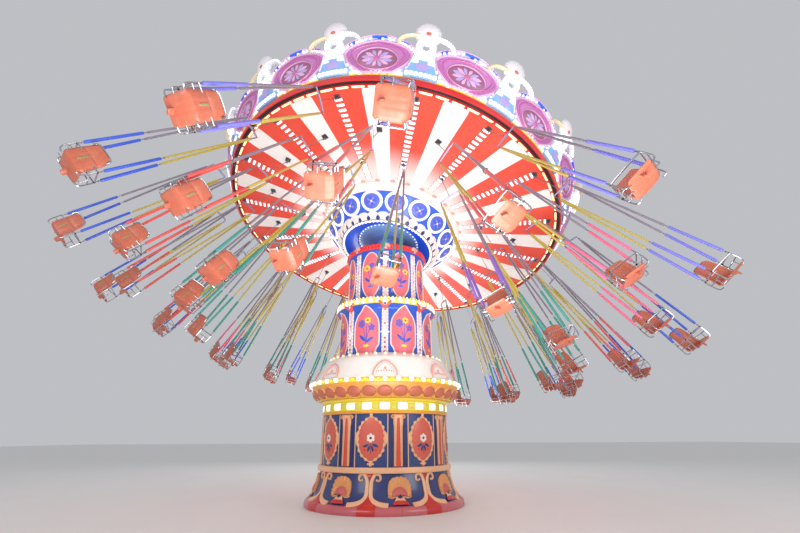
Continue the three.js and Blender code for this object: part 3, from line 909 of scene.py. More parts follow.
def makeDome():
    look = domeLook
    shape = newShape()
    outline = [
        (1.79, 2.742), (1.838, 2.742), (1.844, 2.752), (1.838, 2.77), (1.742, 2.985), (1.648, 3.2), (1.626, 3.236),
        (1.588, 3.268), (1.43, 3.335), (1.29, 3.392), (1.272, 3.396), (1.270, 3.35),
    ]
    addLathe(shape, outline, 0)
    arch = [(0.268, 0.0), (0.27, 0.035), (0.252, 0.11), (0.208, 0.19), (0.15, 0.268), (0.075, 0.328), (0.0, 0.35)]
    edge = smoothPath(arch, 4)
    full = edge + [(-x, y) for x, y in reversed(edge[:-1])]
    gable = newShape()
    depths = (0.0, -look["gableThick"])
    addGrid(gable, [[(x, y, out) for x, y in full] for out in depths], 0)
    for out in depths:
        addPanel(gable, panelRows([(max(x, 0.001), y) for x, y in edge]), 0, out, 0.0, 8)
    addRibbon(gable, full, 0.034, 0.018, 1)
    addRibbon(gable, [(x * 0.74, 0.035 + y * 0.76) for x, y in full], 0.013, 0.01, 1)
    for x in (-0.15, -0.09, -0.03, 0.03, 0.09, 0.15):
        addBoss(gable, (x, 0.085 + 0.02 * math.cos(9 * x)), 0.014, 0.02, 0.012, 2, 0.0, 10)
    addBoss(gable, (0, 0.165), 0.034, 0.04, 0.012, 1, 0.0, 12)
    addAround(shape, gable, onFacet(look["gableFoot"], look["gableLean"]), baseLook["sides"], corniceLook["heading"])
    top = wallFrom([(1.588, 3.268), (1.29, 3.392)])
    bulb = newShape()
    addBoss(bulb, (0, 0.13), 0.04, 0.04, 0.01, 0, 0.0, 10)
    addBall(bulb, (0, 0.13, 0.022), 0.032, 3, 10, 5)
    addAround(shape, bulb, onWall(top, look["bulbReach"]), corniceLook["bulbs"], corniceLook["heading"])
    addPiece(
        "white_dome", shape, ["dome", "gable", "medallion", "lampWarm"], 35, "root", ["cornice_dome"],
    )


# the two tower stages that rise out of the dome
def posyMotif(shape, centre, scale, finishes, out):
    # a generic bunch of flowers for the painted ovals: stems, leaves, rosettes and a scatter of buds
    stem, petalOne, petalTwo, heart = finishes
    x0, y0 = centre
    for dx, dy in ((-0.085, 0.16), (0.02, 0.2), (0.1, 0.09)):
        path = [
            (x0, y0 - 0.24 * scale), (x0 + dx * 0.3 * scale, y0 - 0.05 * scale), (x0 + dx * scale, y0 + dy * scale),
        ]
        addRibbon(shape, smoothPath(path, 3), 0.012 * scale, 0.006, stem, lift=out)
    leafMotif(shape, (x0, y0 - 0.18 * scale), (x0 - 0.14 * scale, y0 - 0.05 * scale), 0.06 * scale, stem, out)
    leafMotif(shape, (x0, y0 - 0.2 * scale), (x0 + 0.15 * scale, y0 - 0.1 * scale), 0.06 * scale, stem, out)
    flowerMotif(shape, (x0 - 0.09 * scale, y0 + 0.16 * scale, out), 0.085 * scale, petalOne, heart)
    flowerMotif(shape, (x0 + 0.03 * scale, y0 + 0.22 * scale, out + 0.002), 0.07 * scale, petalTwo, heart)
    flowerMotif(shape, (x0 + 0.11 * scale, y0 + 0.08 * scale, out), 0.075 * scale, petalOne, heart, 5)
    addBoss(shape, (x0, y0 - 0.26 * scale), 0.06 * scale, 0.025 * scale, 0.008, petalTwo, out, 14)


towerLook = {
    "heading": -89.0, "sides": 8, "bulbs": 44, "beadPitch": 0.09, "bead": 0.0145,
    "lowerRadius": 1.238, "ringRadius": 1.354, "upperRadius": 1.05, "crownRadius": 1.13, "lobes": 7,
}


def addBeads(shape, foot, height, finish):
    # small lamps up both edges of a pilaster
    pitch = towerLook["beadPitch"]
    for hand in (1, -1):
        for i in range(round(height / pitch)):
            addBulb(shape, (hand * foot[0], foot[1] + pitch / 2 + pitch * i, 0.012), towerLook["bead"], finish)


def tierOval(half, foot, deep, turns, width, middle, scale):
    # the framed oval of a tier, from half its outline in degrees and metres
    edge = [(arc(x, deep), y - foot) for x, y in half]
    oval = newShape()
    addPanel(oval, panelRows([(max(x - 0.01, 0.001), y) for x, y in edge]), 1, 0.004, 0.004, 12)
    addRibbon(oval, smoothPath(mirrored(edge), turns, True), width, 0.02, 0, closed=True)
    posyMotif(oval, (0, middle), scale, (2, 3, 4, 5), 0.009)
    return oval


def addSides(wall, deep, pilaster, oval):
    look = towerLook
    ovals, pilasters = newShape(), newShape()
    addAround(pilasters, pilaster, onWall(wall, deep), look["sides"], look["heading"])
    addAround(ovals, oval, onWall(wall, deep), look["sides"], look["heading"] + 180 / look["sides"])
    return ovals, pilasters


def starPanel(shape, points, finish):
    addPanel(shape, panelRows([(max(x, 0.002), y) for x, y in points]), finish, 0.016, 0.006, 8)


def makeLowerTier():
    body = "lower_column"
    shape = newShape()
    addLathe(shape, [
        (1.13, 2.965), (1.236, 2.965), (1.238, 2.99), (1.238, 4.50), (1.246, 4.53), (1.274, 4.56), (1.33, 4.604),
        (1.354, 4.63),
    ], 0, 96)
    addLathe(shape, [
        (1.354, 4.63), (1.362, 4.64), (1.358, 4.652), (1.348, 4.656), (1.348, 4.762), (1.358, 4.766),
        (1.358, 4.778), (1.34, 4.786), (1.24, 4.79), (1.1, 4.79), (1.093, 4.78), (1.093, 4.74),
    ], 1, 96)
    addPiece("lower_tier_wall", shape, ["tower", "litBand"], 35, body, ["lower_tier"])

    wall = wallFrom([(1.238, 3.0), (1.238, 4.52), (1.354, 4.64), (1.354, 4.8)])
    deep = towerLook["lowerRadius"]
    half = [
        (0, 4.63), (4, 4.55), (6.5, 4.49), (9, 4.42), (11, 4.375), (13, 4.305), (14.3, 4.24), (15.3, 4.15),
        (15.7, 4.0), (15.7, 3.72), (15.4, 3.6), (13.8, 3.55), (12.5, 3.5), (11.2, 3.42), (9, 3.38), (6, 3.3),
        (0, 3.27),
    ]
    oval = tierOval(half, 3.0, deep, 2, 0.036, 0.93, 1.35)
    pilaster = newShape()
    addPanel(pilaster, [(y, -0.078, 0.078) for y in (-0.02, 0.4, 0.8, 1.2, 1.52)], 1, 0.014, 0.0, 4)
    for hand in (1, -1):
        addRibbon(pilaster, [(hand * 0.07, -0.02), (hand * 0.07, 1.53)], 0.026, 0.022, 0)
        addRibbon(
            pilaster, [(0.0, 1.535), (hand * 0.04, 1.59), (hand * 0.10, 1.68), (hand * 0.165, 1.76)],
            [0.09, 0.085, 0.075, 0.06], 0.028, 3,
        )
    for up, size in ((0.415, 0.034), (0.53, 0.033), (0.65, 0.03), (0.755, 0.028), (1.13, 0.025), (1.49, 0.025)):
        addBoss(pilaster, (0, up), size * 1.4, size * 1.4, 0.008, 0, 0.013, 14)
        addBoss(pilaster, (0, up), size, size, 0.012, 2, 0.015, 14)
    addBeads(pilaster, (0.07, -0.02), 1.5, 6)
    starPanel(pilaster, [(0.0, 1.03), (0.045, 0.955), (0.13, 0.91), (0.045, 0.865), (0.0, 0.79)], 4)
    addBoss(pilaster, (0, 0.91), 0.05, 0.05, 0.008, 4, 0.018, 16)
    addBoss(pilaster, (0, 1.66), 0.046, 0.046, 0.02, 0, 0.014, 16)
    addBoss(pilaster, (0, 1.66), 0.036, 0.036, 0.034, 5, 0.016, 8)
    ovals, pilasters = addSides(wall, deep, pilaster, oval)
    finishes = ["ovalTrim", "oval", "tower", "coneMedallion", "litBand", "crownRed"]
    addPiece("lower_tier_ovals", ovals, finishes, 50, body)
    finishes = ["ovalTrim", "towerPilaster", "dot", "vBracket", "dome", "jewelAcrylic", "lampWhite"]
    addPiece("lower_tier_pilasters", pilasters, finishes, 50, body)

    bulbs, pair = newShape(), newShape()
    addPillow(pair, (-0.062, 0.02), (0.062, 0.118), 0.03, 0)
    addPillow(pair, (0.07, 0.03), (0.124, 0.108), 0.016, 1)
    addBulb(pair, (0, 0.148, 0.0), 0.024, 0)
    addBulb(pair, (0.097, 0.148, 0.0), 0.02, 1)
    ring = wallFrom([(1.348, 4.64), (1.348, 4.84)])
    addAround(bulbs, pair, onWall(ring, towerLook["ringRadius"]), towerLook["bulbs"], towerLook["heading"])
    addPiece("lower_tier_bulbs", bulbs, ["lampWhite", "lampYellow"], 50, body)


def cheekShape(outline, bore, thickness, finish):
    # a plate with a round bore: across and up, with the bore at the origin
    shape = newShape()
    steps = 48
    rim, hole = [], []
    for k in range(steps):
        angle = 2 * math.pi * k / steps
        c, s = math.cos(angle), math.sin(angle)
        best = 9.0
        for (x0, y0), (x1, y1) in zip(outline, outline[1:] + outline[:1]):
            cross = c * (y1 - y0) - s * (x1 - x0)
            if abs(cross) > 1e-9:
                t = (x0 * (y1 - y0) - y0 * (x1 - x0)) / cross
                u = ((c * t - x0) * (x1 - x0) + (s * t - y0) * (y1 - y0)) / ((x1 - x0) ** 2 + (y1 - y0) ** 2)
                if t > 0 and -1e-6 <= u <= 1 + 1e-6:
                    best = min(best, t)
        rim.append((best * c, best * s))
        hole.append((bore * c, bore * s))
    rows = []
    for points, out in ((hole, 0), (rim, 0), (rim, thickness), (hole, thickness)):
        rows.append([(x, out, y) for x, y in points])
    addGrid(shape, rows, finish, closeAcross=True, closeAlong=True)
    return shape


def makeUpperTier():
    body = "upper_column"
    shape = newShape()
    addLathe(shape, [(0.97, 4.505), (1.05, 4.505), (1.05, 6.2), (1.062, 6.222), (1.1, 6.238)], 0, 96)
    addLathe(shape, [
        (1.1, 6.238), (1.124, 6.243), (1.132, 6.254), (1.133, 6.376), (1.127, 6.388), (1.1, 6.39), (1.085, 6.262),
        (0.3, 6.26), (0.3, 6.19),
    ], 1, 96)
    lean = Vector((canopyUp.x, canopyUp.y, 0)).normalized()
    side = Vector((-lean.y, lean.x, 0))
    pivot = Vector(spin["pos_m"])
    cheek = cheekShape([(-0.15, 0.095), (-0.15, -0.36), (0.15, -0.36), (0.15, 0.095)], 0.0615, 0.08, 2)
    for start in (0.36, -0.44):
        addShape(shape, cheek, lambda p: pivot + lean * p.x + side * (start + p.y) + Vector((0, 0, p.z)))
    addPiece("upper_tier_wall", shape, ["tower", "crownRed", "greyForging"], 35, body, ["upper_tier"])

    wall = wallFrom([(1.05, 4.5), (1.05, 6.2), (1.062, 6.22), (1.12, 6.25)])
    deep = towerLook["upperRadius"]
    half = [
        (0, 6.19), (5, 6.155), (9, 6.068), (12.5, 5.92), (14.5, 5.7), (14.8, 5.54), (13.5, 5.24), (12, 5.13),
        (10, 5.05), (6, 4.94), (0, 4.885),
    ]
    oval = tierOval(half, 4.5, deep, 3, 0.034, 1.03, 1.25)
    pilaster = newShape()
    addPanel(pilaster, [(y, -0.073, 0.073) for y in (0.02, 0.4, 0.8, 1.2, 1.7)], 1, 0.014, 0.0, 4)
    for hand in (1, -1):
        addRibbon(pilaster, [(hand * 0.064, 0.02), (hand * 0.064, 1.7)], 0.026, 0.022, 0)
    for up in (0.33, 0.63, 0.9, 1.16):
        addBoss(pilaster, (0, up), 0.036, 0.036, 0.008, 0, 0.013, 14)
        addBoss(pilaster, (0, up), 0.025, 0.025, 0.012, 2, 0.015, 14)
    addBeads(pilaster, (0.064, 0.05), 1.6, 4)
    starPanel(pilaster, [(0.0, 1.58), (0.04, 1.51), (0.115, 1.47), (0.04, 1.43), (0.0, 1.36)], 3)
    crown, lobe = newShape(), newShape()
    addBoss(lobe, (0, 0.035), 0.052, 0.046, 0.03, 0, -0.004, 14)
    addBoss(lobe, (0, 0.112), 0.05, 0.044, 0.022, 0, -0.004, 14)
    # a fan-shaped finial over each pilaster
    finial = newShape()
    rows = []
    for i in range(41):
        angle = math.radians(-112 + 224 * i / 40)
        reach = 0.128 * (1 + 0.04 * math.cos(7 * 2 * math.pi * i / 40))
        rows.append([
            (
                reach * share * math.sin(angle), 0.068 + 0.86 * reach * share * math.cos(angle),
                0.034 - 0.026 * share ** 2 + 0.006 * share * math.cos(7 * 2 * math.pi * i / 40),
            )
            for share in (0.05, 0.3, 0.55, 0.8, 1.0)
        ] + [(reach * math.sin(angle), 0.068 + 0.86 * reach * math.cos(angle), -0.03)])
    addGrid(finial, rows, 1)
    addBoss(finial, (0, 0.03), 0.045, 0.036, 0.03, 1, 0.01, 16)
    band = wallFrom([(1.13, 6.235), (1.13, 6.44)])
    look = towerLook
    seat, pitch = onWall(band, look["crownRadius"]), 360 / look["sides"] / (look["lobes"] + 2)
    addAround(crown, finial, seat, look["sides"], look["heading"])
    for i in range(look["lobes"]):  # lobes between two finials
        addAround(crown, lobe, seat, look["sides"], look["heading"] + pitch * (i + 1.5))
    ovals, pilasters = addSides(wall, deep, pilaster, oval)
    finishes = ["ovalTrim", "oval", "tower", "litBand", "coneMedallion", "crownRed"]
    addPiece("upper_tier_ovals", ovals, finishes, 50, body)
    finishes = ["ovalTrim", "towerPilaster", "dot", "dome", "lampWhite"]
    addPiece("upper_tier_pilasters", pilasters, finishes, 50, body)
    addPiece("upper_tier_crown", crown, ["crownRed", "finial"], 50, body)


# the canopy, in its own frame: centre drum, ceiling, lit rim, arched fascia and roof
def ceilingAt(radius):
    return 0.8405 + (radius - 2.04) / 2.75 * 0.0645


centreLook = {
    "dentils": 32, "upperBulbs": 80, "lipBulbs": 72, "coveBulbs": 44, "dentilReach": 1.46, "medallionReach": 1.76,
}


def makeCentreDrum():
    look = centreLook
    body = "carousel"
    shape = newShape()
    addLathe(shape, [(0.264, 0.36), (0.264, 0.341), (0.9, 0.341), (0.915, 0.338)], 1)
    addLathe(shape, [
        (0.915, 0.338), (0.93, 0.322), (0.955, 0.322), (0.96, 0.336), (1.04, 0.327), (1.13, 0.3), (1.2, 0.255),
        (1.245, 0.205), (1.275, 0.14), (1.288, 0.085),
    ], 2)
    addLathe(shape, [(1.288, 0.085), (1.296, 0.075), (1.35, 0.076), (1.362, 0.08)], 4)
    addLathe(shape, [(1.362, 0.08), (1.372, 0.074), (1.382, 0.084), (1.38, 0.094)], 3)
    addLathe(shape, [(1.38, 0.094), (1.545, 0.25), (1.80, 0.50), (1.945, 0.643)], 0)
    addLathe(shape, [(1.945, 0.643), (2.1, 0.795), (2.104, 0.82), (2.09, 0.838), (2.03, 0.84)], 4)
    finishes = ["cone", "coveDisc", "cove", "navy", "dentil"]
    addPiece("centre_drum_shell", shape, finishes, 35, body, ["centre_drum"])

    wall = wallFrom([(1.365, 0.078), (1.545, 0.25), (2.1, 0.795)])
    dentils, one = newShape(), newShape()
    rows = [
        (0.012, 0.095), (0.045, 0.074), (0.085, 0.076), (0.12, 0.1), (0.155, 0.132), (0.19, 0.134), (0.22, 0.1),
        (0.238, 0.045),
    ]
    addPanel(one, panelRows([(x, y) for y, x in rows]), 0, 0.0, 0.03, 8)
    addRibbon(one, [(-x, y) for y, x in rows] + [(x, y) for y, x in reversed(rows)], 0.018, 0.03, 0)
    addBoss(one, (0.1435, 0.07), 0.05, 0.052, 0.012, 1, 0.0, 14)
    addAround(dentils, one, onWall(wall, look["dentilReach"]), look["dentils"], lampLine)
    addPiece("centre_drum_dentils", dentils, ["dentil", "navy"], 50, body)

    medallions, one = newShape(), newShape()
    middle = (0, 0.53)
    addBoss(one, middle, 0.24, 0.215, 0.03, 0, 0.004, 32)
    addRibbon(one, ovalPath(middle, 0.245, 0.22, 40), 0.024, 0.034, 1, closed=True)
    for k in range(8):
        angle = math.pi / 4 * k + 0.2
        leafMotif(
            one, (0, 0.53), (0.15 * math.cos(angle), 0.53 + 0.13 * math.sin(angle)), 0.05, 3 if k % 2 else 4, 0.036,
        )
    addBoss(one, middle, 0.035, 0.035, 0.016, 1, 0.03, 12)
    addBulbs(one, ovalPath(middle, 0.288, 0.262, 34), 0.008, 0.033, 2)
    addBulbs(one, ((0, 0.232), (0.022, 0.248), (-0.022, 0.248)), 0.008, 0.026, 2)
    seat = onWall(wall, look["medallionReach"])
    addAround(medallions, one, seat, bays, lampLine)
    fan = newShape()
    addBoss(fan, (0, 2.13), 0.07, 0.05, 0.02, 5, 0.0, 12)
    addAround(medallions, fan, onDeck(lambda r: 0.842), look["dentils"], lampLine + 180 / look["dentils"])
    for centre, radius, place, count in (
        ((0, 0.905, 0.006), 0.03, seat, look["upperBulbs"]),
        ((0, 1.323, 0.0), 0.036, onDeck(lambda r: 0.076), look["lipBulbs"]),
        ((0, 0.885, 0.0), 0.024, onDeck(lambda r: 0.338), look["coveBulbs"]),
    ):
        bulb = newShape()
        addBulb(bulb, centre, radius, 2)
        addAround(medallions, bulb, place, count, 0)
    finishes = ["coneMedallion", "scroll", "lampWhite", "coneHeart", "cone", "gable"]
    addPiece("centre_drum_medallions", medallions, finishes, 50, body)


ceilingLook = {
    "redShare": 0.68, "rungs": 18, "rungPitch": 0.135, "topRung": 4.55, "rungHalf": 0.075, "rungSpread": 0.03,
    "dashes": 80,
}


def makeCeiling():
    body = "carousel"
    look = ceilingLook
    bay = 360 / bays
    shape = newShape()
    outline = [(2.04, 0.89), (2.04, 0.8405), (2.7, 0.856), (3.4, 0.8724), (4.1, 0.8888), (4.79, 0.905)]
    for k in range(bays):
        heading = lampLine + bay * k
        half = bay * look["redShare"] / 2
        addLathe(shape, outline, 0, 8, heading - half, 2 * half)
        addLathe(shape, outline, 1, 4, heading + half, bay - 2 * half)
        for hand in (1, -1):
            # cover strips on the joints between the boards
            strip = newShape()
            addPillow(strip, (-0.014, 2.06), (0.014, 4.77), 0.008, 1, 0.0, 4)
            addShape(shape, strip, onDeck(ceilingAt)(heading + hand * half))
    addLathe(shape, [(4.79, 0.905), (4.792, 0.886), (4.862, 0.888), (4.868, 0.9), (4.872, 0.935)], 2)
    addLathe(shape, [(4.872, 0.935), (4.95, 0.937)], 3)
    addLathe(shape, [
        (4.95, 0.937), (4.954, 0.9), (4.962, 0.891), (4.985, 0.892), (4.992, 0.915), (4.99, 0.93), (5.001, 0.95),
        (5.005, 0.999), (4.7, 0.9995),
    ], 2)
    finishes = ["boardRed", "boardWhite", "rim", "channel"]
    addPiece("ceiling_boards", shape, finishes, 30, body, ["canopy_ceiling"])

    lamps, ladder, dash = newShape(), newShape(), newShape()
    for i in range(look["rungs"]):
        r = look["topRung"] - look["rungPitch"] * i
        half = look["rungHalf"] + look["rungSpread"] * (r - 2.2) / 2.35  # wider towards the rim
        addPillow(ladder, (-half, r - 0.032), (half, r + 0.032), 0.028, 0, 0.0, 4)
        addBlock(ladder, (-half - 0.012, r - 0.028, -0.004), (-half + 0.004, r + 0.028, 0.014), 2)
        addBlock(ladder, (half - 0.004, r - 0.028, -0.004), (half + 0.012, r + 0.028, 0.014), 2)
    addAround(lamps, ladder, onDeck(ceilingAt), bays, lampLine)
    addPillow(dash, (-0.155, 4.802), (0.155, 4.852), 0.022, 1)
    addAround(lamps, dash, onDeck(lambda r: 0.887), look["dashes"], lampLine + 180 / look["dashes"])
    addPiece("ceiling_lamps", lamps, ["lampWhite", "lampWarm", "rim"], 50, body)

    hangers = newShape()
    for joint in joints.values():
        if "_swing_" not in joint["name"]:
            continue
        hook = canopyFrame.inverted() @ Vector(joint["pos_m"])
        hinge = (canopyFrame.to_3x3().inverted() @ Vector(joint["axis"])).normalized()
        outward = (-hinge).cross(Vector((0, 0, 1))).normalized()
        radius = math.hypot(hook.x, hook.y)
        top = ceilingAt(radius) - hook.z
        one = newShape()
        addBlock(one, (-0.07, -0.07, top - 0.008), (0.07, 0.07, top + 0.01), 0, 0.006)
        addBlock(one, (-0.026, -0.026, 0.0205), (0.026, 0.026, top), 0, 0.005)
        for x in (-0.05, 0.05):
            for y in (-0.05, 0.05):
                addBall(one, (x, y, top - 0.008), 0.011, 0, 6, 4, 0.7)
        for y in (-0.031, 0.031):
            addBlock(one, (-0.022, y - 0.005, -0.024), (0.022, y + 0.005, 0.05), 0, 0.004)
            addTube(one, [(0, y - 0.01, 0), (0, y + 0.01, 0)], 0.013, 6, 0)
        addShape(hangers, one, lambda p, o=outward, h=hinge, c=hook: c + o * p.x - h * p.y + Vector((0, 0, p.z)))
    addPiece("chain_hangers", hangers, ["hookSteel"], 40, body)


fasciaLook = {
    "spring": 1.41, "crown": 1.945, "foot": 4.96, "footHeight": 1.0005, "lean": 0.5, "thick": 0.045,
    "reference": 5.2, "steps": 14, "levels": 10, "rosette": 0.285, "rosetteLobes": 16, "rosetteSwell": 0.012,
}


def archTop(share):
    look = fasciaLook
    return look["spring"] + (look["crown"] - look["spring"]) * math.sqrt(max(math.sin(math.pi * share), 0))


def makeFascia():
    body = "carousel"
    look = fasciaLook
    slope = math.hypot(1, look["lean"])
    wallBase = wallFrom([
        (look["foot"], look["footHeight"]), (look["foot"] + look["lean"] * 1.1, look["footHeight"] + 1.1),
    ])

    def up(z):
        return (z - look["footHeight"]) * slope

    shape = newShape()
    steps, levels, low = look["steps"], look["levels"], look["footHeight"]
    columns = []
    for k in range(bays * steps):
        top = archTop((k % steps) / steps)
        heading = math.radians(lampLine + 360 / bays * k / steps)
        rises = [(top - low) * i / levels for i in range(levels + 1)]
        outer = [(look["foot"] + look["lean"] * rise, low + rise) for rise in rises]
        inner = [(r - look["thick"], z) for r, z in reversed(outer)]
        columns.append([(r * math.cos(heading), r * math.sin(heading), z) for r, z in outer + inner])
    addGrid(shape, columns, 0, closeAcross=True, closeAlong=True)
    addLathe(shape, [(4.963, 1.002), (4.975, 1.006), (4.998, 1.05), (4.99, 1.054)], 1)
    addLathe(shape, [(4.992, 1.054), (5.004, 1.062), (5.016, 1.088), (5.01, 1.1)], 2)
    finishes = ["fascia", "rim", "line"]
    addPiece("fascia_wall", shape, finishes, 40, body, ["canopy_fascia"])

    deep = look["reference"]
    seat = onWall(wallBase, deep)
    panels, one = newShape(), newShape()
    half = [
        (0, 1.80), (3.7, 1.753), (6.1, 1.698), (7.6, 1.63), (8.3, 1.534), (7.6, 1.383), (5.9, 1.246), (3.7, 1.123),
    ]
    edge = smoothPath([(arc(x, deep), up(z)) for x, z in half], 4)
    addPanel(one, panelRows([(max(x - 0.02, 0.001), y) for x, y in edge]), 0, 0.012, 0.02, 12)
    outline = edge + [(-x, y) for x, y in reversed(edge[1:])]
    addRibbon(one, outline, 0.07, 0.05, 1, closed=True)
    addRibbon(
        one, [(x * 0.89, up(1.43) + (y - up(1.43)) * 0.89) for x, y in outline], 0.03, 0.03, 0, closed=True,
        lift=0.01,
    )
    addRibbon(
        one, [(x * 0.79, up(1.42) + (y - up(1.42)) * 0.79) for x, y in outline], 0.045, 0.04, 2, closed=True,
        lift=0.01,
    )
    centre = (0, up(1.40))
    addBoss(one, centre, arc(5.0, deep), 0.255, 0.03, 3, 0.02, 36)
    addRibbon(one, ovalPath(centre, arc(5.1, deep), 0.262, 40), 0.03, 0.045, 1, closed=True, lift=0.01)
    for k in range(12):
        angle = 2 * math.pi * k / 12 + 0.31
        tip = (0.36 * math.cos(angle), centre[1] + 0.2 * math.sin(angle))
        leafMotif(
            one, (0.05 * math.cos(angle), centre[1] + 0.035 * math.sin(angle)), tip, 0.1, 4 if k % 2 else 5, 0.046,
        )
    addBoss(one, centre, 0.07, 0.06, 0.02, 2, 0.044, 16)
    addAround(panels, one, seat, bays, lampLine + 180 / bays)
    finishes = ["mauve", "mauvePale", "mauveHeart", "mauveDeep", "lavender", "mauvePale"]
    addPiece("fascia_panels", panels, finishes, 50, body)

    bulbs, one = newShape(), newShape()
    ring = smoothPath([(x * 1.11, up(1.45) + (y - up(1.45)) * 1.12 + 0.01) for x, y in outline[1::4]], 2)
    addBulbs(one, ring, 0.012, 0.032, 0)
    arch = []
    for i in range(1, 32):
        share = 0.5 + 0.42 * (i - 16) / 16
        arch.append((arc(22.5 * (share - 0.5), deep), up(archTop(share)) - 0.02))
    addRibbon(one, arch, 0.034, 0.03, 4)
    for x, y in arch[1:-1:2]:
        if abs(x) > 0.2:
            addBulb(one, (x * 0.96, y - 0.06, 0.008), 0.028, 0)
    # a blue T at the crown and a blue bar at each shoulder
    addRibbon(one, [(-arc(1.75, deep), up(1.893)), (arc(1.75, deep), up(1.893))], 0.055, 0.036, 2)
    addRibbon(one, [(0, up(1.89)), (0, up(1.832))], 0.085, 0.034, 2)
    for hand in (1, -1):
        addRibbon(one, [(hand * arc(5.9, deep), up(1.80)), (hand * arc(7.4, deep), up(1.735))], 0.06, 0.036, 2)
    for i in range(13):
        x = arc(-7.2 + 1.2 * i, deep)
        addPillow(one, (x - 0.046, up(1.105)), (x + 0.046, up(1.165)), 0.026, 0)
    for i in range(9):
        x = arc(-8.0 + 2.0 * i, deep)
        addPillow(one, (x - 0.08, 0.088), (x + 0.08, 0.108), 0.02, 3)
    addAround(bulbs, one, seat, bays, lampLine + 180 / bays)
    finishes = ["lampWhite", "scroll", "cove", "lampYellow", "mauvePale"]
    addPiece("fascia_bulbs", bulbs, finishes, 50, body)

    # the brackets: a tapering body, a ring with a hole, and a see-through loop to each side
    brackets, one = newShape(), newShape()
    column = [
        (0.0, 0.64), (0.2, 0.635), (0.225, 0.6), (0.26, 0.48), (0.3, 0.34), (0.335, 0.26), (0.4, 0.24), (0.4, 0.10),
        (0.38, 0.08),
    ]
    addPanel(one, panelRows([(max(x, 0.001), y) for x, y in column]), 0, 0.05, 0.02, 12)
    both = column + [(-x, y) for x, y in reversed(column[1:])]
    addGrid(one, [[(x, y, out) for x, y in both] for out in (0.052, -0.02)], 0, closeAcross=True)
    for hand in (1, -1):
        addRibbon(one, [(hand * x, y) for x, y in column[2:6]], 0.03, 0.03, 1, lift=0.05)
    for i in range(7):
        addPillow(one, (-0.37 + 0.107 * i, 0.115), (-0.275 + 0.107 * i, 0.215), 0.04, 2, 0.05)
    for hand in (1, -1):
        addPillow(one, (hand * 0.182 - 0.082, 0.425), (hand * 0.182 + 0.082, 0.475), 0.035, 2, 0.064)
    for low, half in ((0.505, 0.235), (0.58, 0.205)):
        addPillow(one, (-half, low), (half, low + 0.05), 0.035, 2, 0.064)
    for k in range(5):
        angle = math.radians(-44 + 22 * k)
        leafMotif(
            one, (0.06 * math.sin(angle), 0.245), (0.23 * math.sin(angle), 0.25 + 0.22 * math.cos(angle)), 0.07, 3,
            0.075,
        )
    ring = (0, up(1.73))
    addRibbon(one, ovalPath(ring, 0.15, 0.16, 40), 0.165, 0.05, 1, closed=True, lift=0.045)
    addBulbs(one, ovalPath(ring, 0.185, 0.2, 22), 0.1, 0.024, 2)
    addBulbs(one, ovalPath(ring, 0.12, 0.125, 14), 0.1, 0.02, 2)
    loop = [
        (0.6, up(1.79)), (0.565, up(1.85)), (0.47, up(1.915)), (0.34, up(1.95)), (0.2, up(1.96)), (0.06, up(1.945)),
    ]
    for hand, finish in ((1, 1), (-1, 4)):
        bend = smoothPath([(hand * x, y) for x, y in loop], 5)
        addRibbon(one, bend, 0.075, 0.05, finish, lift=0.06)
        if hand > 0:
            addBulbs(one, bend[1::2], 0.115, 0.024, 2)
        addRibbon(one, [(hand * 0.6, up(1.74)), (hand * 0.6, up(1.81))], 0.07, 0.04, finish, lift=0.03)
    addBoss(one, (0, up(1.945)), 0.07, 0.06, 0.04, 1, 0.08, 18)
    addAround(brackets, one, seat, bays, lampLine)
    finishes = ["bracket", "scroll", "lampWhite", "lavender", "loopPale"]
    addPiece("fascia_brackets", brackets, finishes, 50, body)

    # a pale domed rosette with a red heart behind each bracket's head
    rosettes, one = newShape(), newShape()
    rows = []
    for share, rise in (
        (0.02, 0.1), (0.2, 0.097), (0.4, 0.088), (0.6, 0.073), (0.8, 0.048), (0.93, 0.02), (1.0, -0.01),
        (0.95, -0.035), (0.6, -0.07), (0.05, -0.09),
    ):
        row = []
        for k in range(64):
            angle = 2 * math.pi * k / 64
            lobe = share * math.cos(look["rosetteLobes"] * angle)
            size = look["rosette"] * share * (1 + look["rosetteSwell"] * lobe)
            row.append((
                size * math.sin(angle), up(2.035) + size * math.cos(angle),
                0.03 + rise + 0.003 * lobe,
            ))
        rows.append(row)
    addGrid(one, rows, 0, closeAcross=True, caps=True)
    addBoss(one, (0, up(2.0)), 0.062, 0.05, 0.022, 2, 0.112, 24)
    # a pinkish ring round the red heart: a painted glow
    addBoss(one, (0, up(2.0)), 0.11, 0.09, 0.012, 1, 0.106, 24)
    addAround(rosettes, one, seat, bays, lampLine)
    addPiece("bracket_rosettes", rosettes, ["ballShell", "ballGlow", "ballSpot"], 50, body)


roofLook = {"steps": 6, "sag": 0.018, "seam": 0.022}


